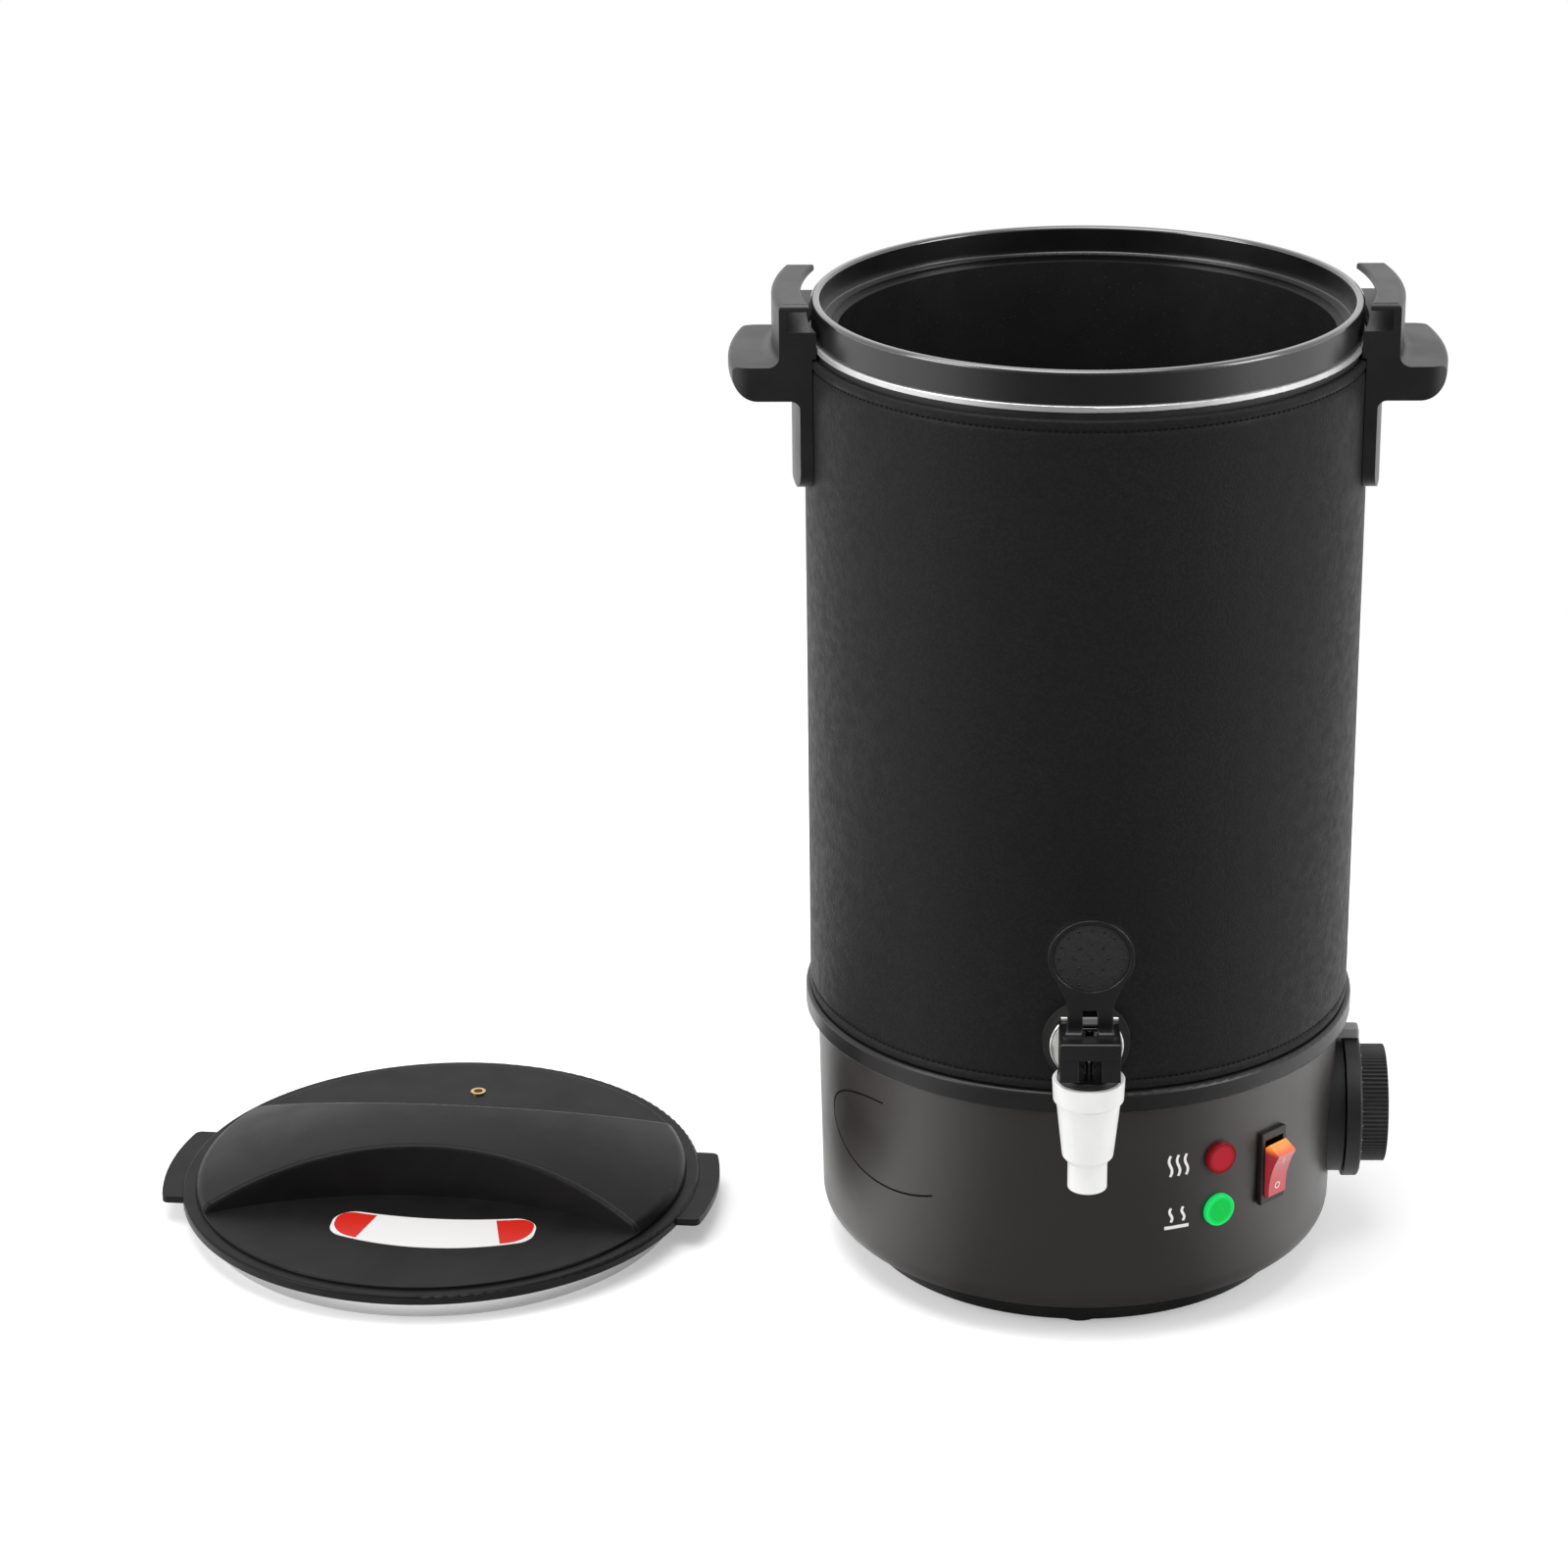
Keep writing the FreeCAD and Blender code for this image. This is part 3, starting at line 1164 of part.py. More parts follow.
def make_stem():
    pivot = front(0, tap_out, pivot_z)
    plug_low = front(0, tap_out, plug_bottom_z)
    plug_top = front(0, tap_out, plug_top_z)
    rod = cylinder(stem_r, plug_low + UP, pivot)
    eye = cylinder(eye_r, pivot - RIGHT * eye_width / 2, pivot + RIGHT * eye_width / 2)
    pin_half = RIGHT * pivot_pin_length / 2
    stem = joined([rod, eye]).cut(cylinder(pivot_pin_r, pivot - pin_half, pivot + pin_half))
    plug = cylinder(plug_r, plug_low, plug_top).cut(cylinder(stem_r, plug_low + UP, plug_top))
    save("tap_stem", [stem])
    save("tap_pin", [cylinder(pivot_pin_r, pivot - pin_half, pivot + pin_half)])
    save("seat_plug", [plug])
    spring_low = plug_top_z + spring_wire_r + spring_end_gap
    spring_height = barrel_top_z - spring_wire_r - spring_end_gap - spring_low
    path = Part.makeHelix(spring_height / spring_turns, spring_height, spring_r)
    section = Part.Wire(Part.makeCircle(spring_wire_r, Vector(spring_r, 0, 0), BACK))
    spring = Part.Wire(path).makePipeShell([section], True, True)
    save("tap_spring", [spring.translated(front(0, tap_out, spring_low))])


def make_lever():
    lean = math.radians(pad_lean)
    back_out = tap_out + lever_back_reach
    low_z = lever_foot_low_z - tool_room
    top_z = pad_centre_z + pad_r + 2

    def leaned(out, z):
        return -out - (z - pivot_z) * math.tan(lean)

    thick = pad_thick / math.cos(lean)
    cam_gap_r = cam_r - body_gap
    front_low_z = cam_z - math.sqrt(cam_gap_r ** 2 - (cheek_front_out - cam_out) ** 2)
    side = prism([(leaned(back_out, slot_top_z + 2), slot_top_z + 2, lever_rounds[0]),
                  (leaned(back_out, top_z), top_z),
                  (leaned(back_out + thick, top_z), top_z),
                  (leaned(back_out + thick, lever_foot_high_z), lever_foot_high_z, lever_rounds[1]),
                  (-lever_foot_out, lever_foot_high_z, lever_rounds[2]),
                  (-lever_foot_out, lever_foot_low_z, lever_foot_out - cheek_front_out),
                  (-cheek_front_out, lever_foot_low_z), (-cheek_front_out, front_low_z - 5),
                  (-cheek_back_out, front_low_z - 5), (-cheek_back_out, pivot_z + 3, lever_rounds[0])],
                 side_plane, RIGHT * 2 * pad_r, RIGHT * -pad_r)
    # What lies under the pivot is bounded below by the cam that rolls on the bonnet.
    cam_centre = front(-pad_r, cam_out, cam_z)
    cam = cylinder(cam_gap_r, cam_centre, cam_centre + RIGHT * 2 * pad_r)
    upper = box((-pad_r, pad_r), (-lever_foot_out - 1, 1 - cheek_back_out), (cam_z, top_z))
    side = side.common(cam.fuse(upper).removeSplitter())

    pad = cylinder(pad_r, front(0, lever_foot_out + 5, pad_centre_z),
                   front(0, cheek_back_out - 5, pad_centre_z))
    flare_x = pad_r * neck_flare_share[0]
    flare_z = pad_centre_z - pad_r * neck_flare_share[1]
    right = [(cheek_half_width, low_z), (cheek_half_width, lever_foot_high_z, neck_rounds[0]),
             (neck_half_width, lever_foot_high_z, neck_rounds[1]),
             (neck_half_width, neck_flare_z, neck_rounds[2]), (flare_x, flare_z)]
    left = [(-point[0],) + point[1:] for point in reversed(right)]
    neck = prism(right + [(0, pad_centre_z)] + left,
                 front_plane, BACK * (lever_foot_out - cheek_back_out + 10), front(0, lever_foot_out + 5, 0))
    lever = side.common(pad.fuse(neck).removeSplitter())
    eye_half = eye_slot / 2
    eye_room = box((-eye_half, eye_half), (-lever_foot_out - 1, 1 - cheek_back_out),
                   (lever_foot_high_z, slot_top_z))
    rod_room = box((-eye_half, eye_half), (-tap_out - rod_slot_reach, 1 - cheek_back_out),
                   (low_z, slot_top_z))
    low_room = box((-cheek_inner_half, cheek_inner_half), (-lever_foot_out - 1, 1 - cheek_back_out),
                   (low_z, lever_foot_low_z))
    pivot = front(0, tap_out, pivot_z)
    pin_reach = RIGHT * (cheek_half_width + 1)
    lever = lever.cut([eye_room, rod_room, low_room,
                       cylinder(pivot_pin_r + running_gap, pivot - pin_reach, pivot + pin_reach)])
    # A shallow round recess in the thumb pad's front face.
    normal = Vector(0, -math.cos(lean), -math.sin(lean))
    face_centre = Vector(0, leaned(back_out + thick, pad_centre_z), pad_centre_z)
    recess = cylinder(pad_disc_r, face_centre - normal * pad_disc_depth, face_centre + normal * 3)
    save("tap_lever", [lever.cut(recess)])


def make_spout():
    inner_r = barrel_r + spout_fit
    spout = turned_ring([(inner_r, spout_rim_z), (spout_rim_r, spout_rim_z, 0.5),
                         (spout_collar_low_r, spout_collar_z, 0.4),
                         (spout_taper_top_r, spout_taper_top_z, 0.3),
                         (spout_taper_low_r, spout_taper_low_z, 1.5), (nozzle_r, nozzle_top_z, 1.0),
                         (nozzle_r, nozzle_low_z, 0.4), (nozzle_r - spout_wall, nozzle_low_z, 0.4),
                         (nozzle_r - spout_wall, nozzle_top_z, 1.0),
                         (spout_taper_low_r - spout_wall, spout_taper_low_z + 0.6, 1.0),
                         (spout_taper_top_r - spout_wall, barrel_bottom_z), (inner_r, barrel_bottom_z)])
    spout = spout.translated(front(0, tap_out, 0))
    notch_half = neck_r + body_gap
    notch = box((-notch_half, notch_half), (-tap_out, -tap_out + probe_reach),
                (spout_notch_z, spout_rim_z + 1))
    save("tap_spout", [spout.cut(notch)])


# ------------------------------------------------------------------------- lid
def placed_lid(shape):
    return shape.rotated(CENTRE, UP, lid_turn).translated(Vector(lid_x, lid_y, 0))


def low_dome(inset):
    # A flattened dome: a tight arc round the edge runs into a wide arc over the top.
    reach = dome_r - dome_edge_r
    crown_r = (reach ** 2 + dome_rise ** 2 - dome_edge_r ** 2) / (2 * (dome_rise - dome_edge_r))
    edge_middle = Vector(reach, 0, dome_z)
    crown_middle = Vector(0, 0, dome_top_z - crown_r)
    way_out = (edge_middle - crown_middle).normalize()
    edge_arc_way = (way_out + RIGHT).normalize()
    crown_arc_way = (way_out + UP).normalize()
    edge_start = Vector(dome_r - inset, 0, dome_z)
    meeting = edge_middle + way_out * (dome_edge_r - inset)
    top = Vector(0, 0, dome_top_z - inset)
    base = Vector(dome_r - inset, 0, lid_skirt_depth)
    edges = [Part.LineSegment(base, edge_start).toShape(),
             Part.Arc(edge_start, edge_middle + edge_arc_way * (dome_edge_r - inset), meeting).toShape(),
             Part.Arc(meeting, crown_middle + crown_arc_way * (crown_r - inset), top).toShape(),
             Part.LineSegment(top, UP * lid_skirt_depth).toShape(),
             Part.LineSegment(UP * lid_skirt_depth, base).toShape()]
    return Part.Face(Part.Wire(edges)).revolve(CENTRE, UP, 360)


def pocket(side, inset, floor_z):
    # Room for the fingers on one side of the raised band, with drafted walls.
    height = dome_top_z - floor_z + 5
    middle = Vector(0, side * (pocket_r + band_half_width), floor_z)
    low_r = pocket_r + inset
    return Part.makeCone(low_r, low_r + pocket_draft * height / dome_rise, height, middle)


def lid_form(inset):
    # Solid form of the lid's dome with its two pockets, or of the hollow under it.
    floor_z = pocket_floor_z - inset
    return low_dome(inset).cut([pocket(side, inset, floor_z) for side in (-1, 1)])


def is_band_edge(edge):
    # The long edges along the top of the raised band.
    return edge.BoundBox.ZLength > dome_rise / 3 and edge.BoundBox.XLength > dome_r


def is_floor_edge(edge):
    # The outer edges of the two pocket floors.
    middle = edge.CenterOfMass
    return edge.BoundBox.ZLength < 0.01 and abs(middle.y) > dome_r / 2 and middle.z > pocket_floor_z - 0.01


def make_lid():
    flange = cylinder(lid_flange_r, UP * lid_skirt_depth, UP * dome_z)
    flange = rounded_edges(flange, lid_flange_round, lambda edge: edge.CenterOfMass.z > dome_z - 0.01)
    lip = tube(lid_flange_r, lid_lip_r, UP * (lid_skirt_depth - lid_lip_drop), UP * (lid_skirt_depth + 0.5))
    tab_face = prism([(-lid_tab_r - 10, -lid_tab_half), (lid_tab_r + 10, -lid_tab_half),
                      (lid_tab_r + 10, lid_tab_half), (-lid_tab_r - 10, lid_tab_half)],
                     floor_plane, UP * lid_tab_thick, UP * (lid_skirt_depth - lid_lip_drop))
    tab_ring = tube(lid_tab_r, lid_lip_r, UP * (lid_skirt_depth - lid_lip_drop),
                    UP * (lid_skirt_depth - lid_lip_drop + lid_tab_thick))
    tabs = tab_face.common(tab_ring)
    tabs = rounded_edges(tabs, lid_tab_round, lambda edge: edge.BoundBox.ZLength > lid_tab_thick - 0.1
                         and abs(edge.CenterOfMass.x) > lid_flange_r)
    ledge = tube(dome_r, liner_r - liner_seat, UP * lid_skirt_depth, UP * dome_z)
    outside = rounded_edges(lid_form(0), band_edge_round, is_band_edge)
    outside = rounded_edges(outside, floor_edge_round, is_floor_edge)
    dome = joined([outside, flange]).cut(lid_form(shell_wall).cut(ledge))
    shell = joined([dome, joined([lip, tabs])])
    liner_top = lid_skirt_depth
    bosses = []
    screws = []
    pilots = []
    screw_holes = []
    for x, y in itertools.product((-lid_screw_x, lid_screw_x), (-lid_screw_y, lid_screw_y)):
        foot = Vector(x, y, liner_top)
        tip = foot + UP * lid_screw_length
        screw_holes.append(cylinder(lid_screw_r, foot - UP * liner_wall, foot))
        screws.append(pan_screw(lid_screw_r, lid_screw_head_r, lid_screw_head, foot - UP * liner_wall, tip))
        bosses.append(cylinder(lid_boss_r, foot, foot + UP * dome_rise).common(lid_form(lid_boss_gap)))
        pilots.append(cylinder(lid_screw_r, foot - UP, tip))
    eyelet_foot = Vector(eyelet_x, eyelet_y, liner_top - liner_wall)
    eyelet_seat = Vector(eyelet_x, eyelet_y, pocket_floor_z)
    eyelet_hole = cylinder(eyelet_bore_r + eyelet_wall, eyelet_foot - UP, eyelet_seat + UP)
    shell = joined([shell] + bosses).cut(pilots + [eyelet_hole])
    liner = turned_ring([(liner_r - liner_wall, 0), (liner_r, 0), (liner_r, liner_top),
                         (0, liner_top), (0, liner_top - liner_wall),
                         (liner_r - liner_wall, liner_top - liner_wall)])
    liner = liner.cut(screw_holes + [eyelet_hole])
    eyelet = joined([cylinder(eyelet_bore_r + eyelet_wall, eyelet_foot - UP * eyelet_flare, eyelet_seat),
                     cylinder(eyelet_r, eyelet_seat, eyelet_seat + UP * eyelet_head),
                     cylinder(eyelet_r, eyelet_foot - UP * eyelet_flare, eyelet_foot)])
    eyelet = eyelet.cut(cylinder(eyelet_bore_r, eyelet_foot - UP * 2, eyelet_seat + UP * 2))
    label_top_z = pocket_floor_z + label_thick
    front_middle = Vector(label_x, label_front_r - label_back_y - label_depth, 0)
    back_middle = Vector(label_x, label_back_r - label_back_y, 0)
    label = cylinder(label_front_r, front_middle + UP * pocket_floor_z, front_middle + UP * label_top_z)
    label = label.cut(cylinder(label_back_r, back_middle, back_middle + UP * (label_top_z + 1)))
    label = label.common(box((label_x - label_half_width, label_x + label_half_width), (-dome_r, 0),
                             (pocket_floor_z, label_top_z)))
    label = rounded_edges(label, label_round, lambda edge: edge.BoundBox.ZLength > label_thick / 2)
    save("lid_shell", [placed_lid(shell)])
    save("lid_liner", [placed_lid(liner)])
    save("lid_screws", [placed_lid(screw) for screw in screws])
    save("lid_eyelet", [placed_lid(eyelet)])
    save("lid_label", [placed_lid(label)])


os.makedirs("parts", exist_ok=True)
make_feet()
make_base_ring()
make_housing()
make_ledge_and_shell()
make_sleeve()
make_pot()
make_rim()
make_handles()
make_heater()
make_probe()
make_terminal_block()
make_thermostat()
make_dial()
make_lamps()
make_switch()
make_inlet()
make_tap_body()
make_stem()
make_lever()
make_spout()
make_lid()
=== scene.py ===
import math

import bmesh
import bpy
from mathutils import Matrix, Vector


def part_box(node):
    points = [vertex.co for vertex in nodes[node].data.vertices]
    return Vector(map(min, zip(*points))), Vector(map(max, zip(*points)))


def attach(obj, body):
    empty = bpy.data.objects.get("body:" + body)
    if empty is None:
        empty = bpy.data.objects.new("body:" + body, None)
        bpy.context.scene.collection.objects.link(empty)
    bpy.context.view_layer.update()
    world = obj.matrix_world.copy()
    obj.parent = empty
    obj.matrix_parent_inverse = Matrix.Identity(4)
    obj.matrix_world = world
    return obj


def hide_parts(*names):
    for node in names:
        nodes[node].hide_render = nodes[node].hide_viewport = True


# Dresses the wax melter: finishes for every CAD part, the stitched leather sleeve, and the
# small printed and moulded details. Metres, tap towards -Y, dial towards +X.

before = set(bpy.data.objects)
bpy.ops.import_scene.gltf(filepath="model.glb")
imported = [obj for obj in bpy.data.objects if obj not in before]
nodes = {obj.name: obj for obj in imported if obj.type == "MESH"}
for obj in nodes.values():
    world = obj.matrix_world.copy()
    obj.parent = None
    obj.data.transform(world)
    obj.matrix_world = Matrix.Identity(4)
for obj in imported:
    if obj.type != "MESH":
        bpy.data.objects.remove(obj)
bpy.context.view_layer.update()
print("melter: CAD parts loaded,", len(nodes))


# Mesh and placing helpers

def addObject(name, data):
    item = bpy.data.objects.new(name, data)
    bpy.context.scene.collection.objects.link(item)
    return item


def addPiece(name, shape, body, finish, smooth=True):
    mesh = bpy.data.meshes.new(name)
    mesh.from_pydata([tuple(point) for point in shape.verts], [], shape.faces)
    mesh.validate()
    mesh.update()
    if smooth:
        mesh.shade_smooth()
    piece = addObject(name, mesh)
    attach(piece, body)
    mesh.materials.append(material[finish])
    return piece


def finalMesh(item):
    # The mesh that an object gives once its modifiers or its lettering are worked out.
    return bpy.data.meshes.new_from_object(item.evaluated_get(bpy.context.evaluated_depsgraph_get()))


def roundPot(radius, azimuth, height):  # azimuth in degrees from the tap, + to the dial
    angle = math.radians(azimuth)
    return Vector((radius * math.sin(angle), -radius * math.cos(angle), height))


def fullTurn(count):
    return [2 * math.pi * step / count for step in range(count)]


def circle(middle, side, other, radius, count):
    return [middle + (side * math.cos(turn) + other * math.sin(turn)) * radius for turn in fullTurn(count)]


# Each row of a thread: share of its length, thickness and depth. Each row of a dome: radius and height.
thread = dict(sides=8, run=((0.0, 0.45, 0.9), (0.14, 0.85, 0.35), (0.35, 1.0, 0.0),
                            (0.65, 1.0, 0.0), (0.86, 0.85, 0.35), (1.0, 0.45, 0.9)))
dome = dict(sides=12, run=((1.0, -0.2), (1.0, 0.0), (0.92, 0.45), (0.7, 0.78), (0.35, 0.96)))


class Shapes:
    # Gathers closed forms into one mesh.
    def __init__(self):
        self.verts = []
        self.faces = []

    def add(self, verts, faces):
        first = len(self.verts)
        self.verts.extend(verts)
        self.faces.extend([[first + index for index in face] for face in faces])

    def loft(self, rings, closed=False):
        # Skins rings of equal count, and caps the two ends unless the rings close up.
        count = len(rings[0])
        faces = []
        for row in range(len(rings) if closed else len(rings) - 1):
            here = row * count
            after = (row + 1) % len(rings) * count
            for col in range(count):
                nextCol = (col + 1) % count
                faces.append([here + col, here + nextCol, after + nextCol, after + col])
        if not closed:
            faces.append(list(reversed(range(count))))
            faces.append([(len(rings) - 1) * count + col for col in range(count)])
        self.add([point for ring in rings for point in ring], faces)

    def addThread(self, start, end, outward, radius):
        # One stitch: a short fat thread that dives in at both ends.
        along = (end - start).normalized()
        side = along.cross(outward).normalized()
        lift = side.cross(along).normalized()
        self.loft([circle(start.lerp(end, share) - lift * radius * depth, side, lift, radius * size,
                          thread["sides"])
                   for share, size, depth in thread["run"]])

    def addDome(self, middle, normal, radius, height):
        side = normal.orthogonal().normalized()
        self.loft([circle(middle + normal * height * rise, side, normal.cross(side), radius * share,
                          dome["sides"])
                   for share, rise in dome["run"]])


# Finishes

evenSockets = {
    "metallic": "Metallic", "evenRoughness": "Roughness", "specular": "Specular IOR Level",
    "coat": "Coat Weight", "coatRoughness": "Coat Roughness", "sheen": "Sheen Weight",
    "sheenRoughness": "Sheen Roughness", "soft": "Subsurface Weight", "glow": "Emission Strength",
}


def startFinish(name, look):
    # A material with the look's even values set. The rest is noise and pattern in object space.
    finish = bpy.data.materials.new(name)
    finish.use_nodes = True
    tree = finish.node_tree
    shader = tree.nodes["Principled BSDF"]
    for key, socket in evenSockets.items():
        if key in look:
            shader.inputs[socket].default_value = look[key]
    place = tree.nodes.new("ShaderNodeTexCoord")
    return finish, tree, shader, place.outputs["Object"]


def addNoise(tree, place, scale, detail=3.0, rough=0.55):
    noise = tree.nodes.new("ShaderNodeTexNoise")
    noise.inputs["Scale"].default_value = scale
    noise.inputs["Detail"].default_value = detail
    noise.inputs["Roughness"].default_value = rough
    tree.links.new(place, noise.inputs["Vector"])
    return noise.outputs["Fac"]


def addCells(tree, place, scale):
    cells = tree.nodes.new("ShaderNodeTexVoronoi")
    cells.inputs["Scale"].default_value = scale
    tree.links.new(place, cells.inputs["Vector"])
    return cells


def spread(tree, value, low, high, fromLow=0.35, fromHigh=0.65):
    node = tree.nodes.new("ShaderNodeMapRange")
    node.inputs["From Min"].default_value = fromLow
    node.inputs["From Max"].default_value = fromHigh
    node.inputs["To Min"].default_value = low
    node.inputs["To Max"].default_value = high
    tree.links.new(value, node.inputs["Value"])
    return node.outputs["Result"]


def mixColours(tree, value, first, second):
    node = tree.nodes.new("ShaderNodeMix")
    node.data_type = "RGBA"
    for socket, colour in ((node.inputs[6], first), (node.inputs[7], second)):
        if isinstance(colour, bpy.types.NodeSocket):
            tree.links.new(colour, socket)
        else:
            socket.default_value = (*colour, 1.0)
    tree.links.new(value, node.inputs[0])
    return node.outputs[2]


def calculate(tree, operation, first, second=None):
    node = tree.nodes.new("ShaderNodeMath")
    node.operation = operation
    for socket, value in zip(node.inputs, (first, second)):
        if isinstance(value, bpy.types.NodeSocket):
            tree.links.new(value, socket)
        elif value is not None:
            socket.default_value = value
    return node.outputs[0]


def calculateVector(tree, operation, place, other=None):
    node = tree.nodes.new("ShaderNodeVectorMath")
    node.operation = operation
    tree.links.new(place, node.inputs[0])
    if other is not None:
        node.inputs[1].default_value = other
    return node.outputs["Value" if operation == "DISTANCE" else "Vector"]


def splitPlace(tree, place):
    node = tree.nodes.new("ShaderNodeSeparateXYZ")
    tree.links.new(place, node.inputs[0])
    return node.outputs


def addBump(tree, shader, height, depth, under=None):
    bump = tree.nodes.new("ShaderNodeBump")
    bump.inputs["Distance"].default_value = depth
    tree.links.new(height, bump.inputs["Height"])
    if under is not None:
        tree.links.new(under, bump.inputs["Normal"])
    tree.links.new(bump.outputs["Normal"], shader.inputs["Normal"])


everyday = dict(mottleScale=60.0, wearScale=35.0, grainDetail=2.0, softReach=0.004, softScale=1.0,
                edgeSamples=6)


def makeFinish(name, look):
    # The everyday finish: mottled colour, uneven gloss and a fine surface grain.
    finish, tree, shader, place = startFinish(name, look)
    if "soft" in look:
        shader.inputs["Subsurface Radius"].default_value = (everyday["softReach"],) * 3
        shader.inputs["Subsurface Scale"].default_value = everyday["softScale"]
    mottle = addNoise(tree, place, look.get("mottleScale", everyday["mottleScale"]))
    tree.links.new(mixColours(tree, spread(tree, mottle, 0.0, 1.0), look["colour"], look["colourTo"]),
                   shader.inputs["Base Color"])
    wear = addNoise(tree, place, everyday["wearScale"])
    tree.links.new(spread(tree, wear, *look["roughness"]), shader.inputs["Roughness"])
    grain = addNoise(tree, place, look["grainScale"], everyday["grainDetail"])
    under = None
    if "edgeRound" in look:
        edge = tree.nodes.new("ShaderNodeBevel")
        edge.samples = everyday["edgeSamples"]
        edge.inputs["Radius"].default_value = look["edgeRound"]
        under = edge.outputs["Normal"]
    addBump(tree, shader, grain, look["grainDepth"], under)
    return finish


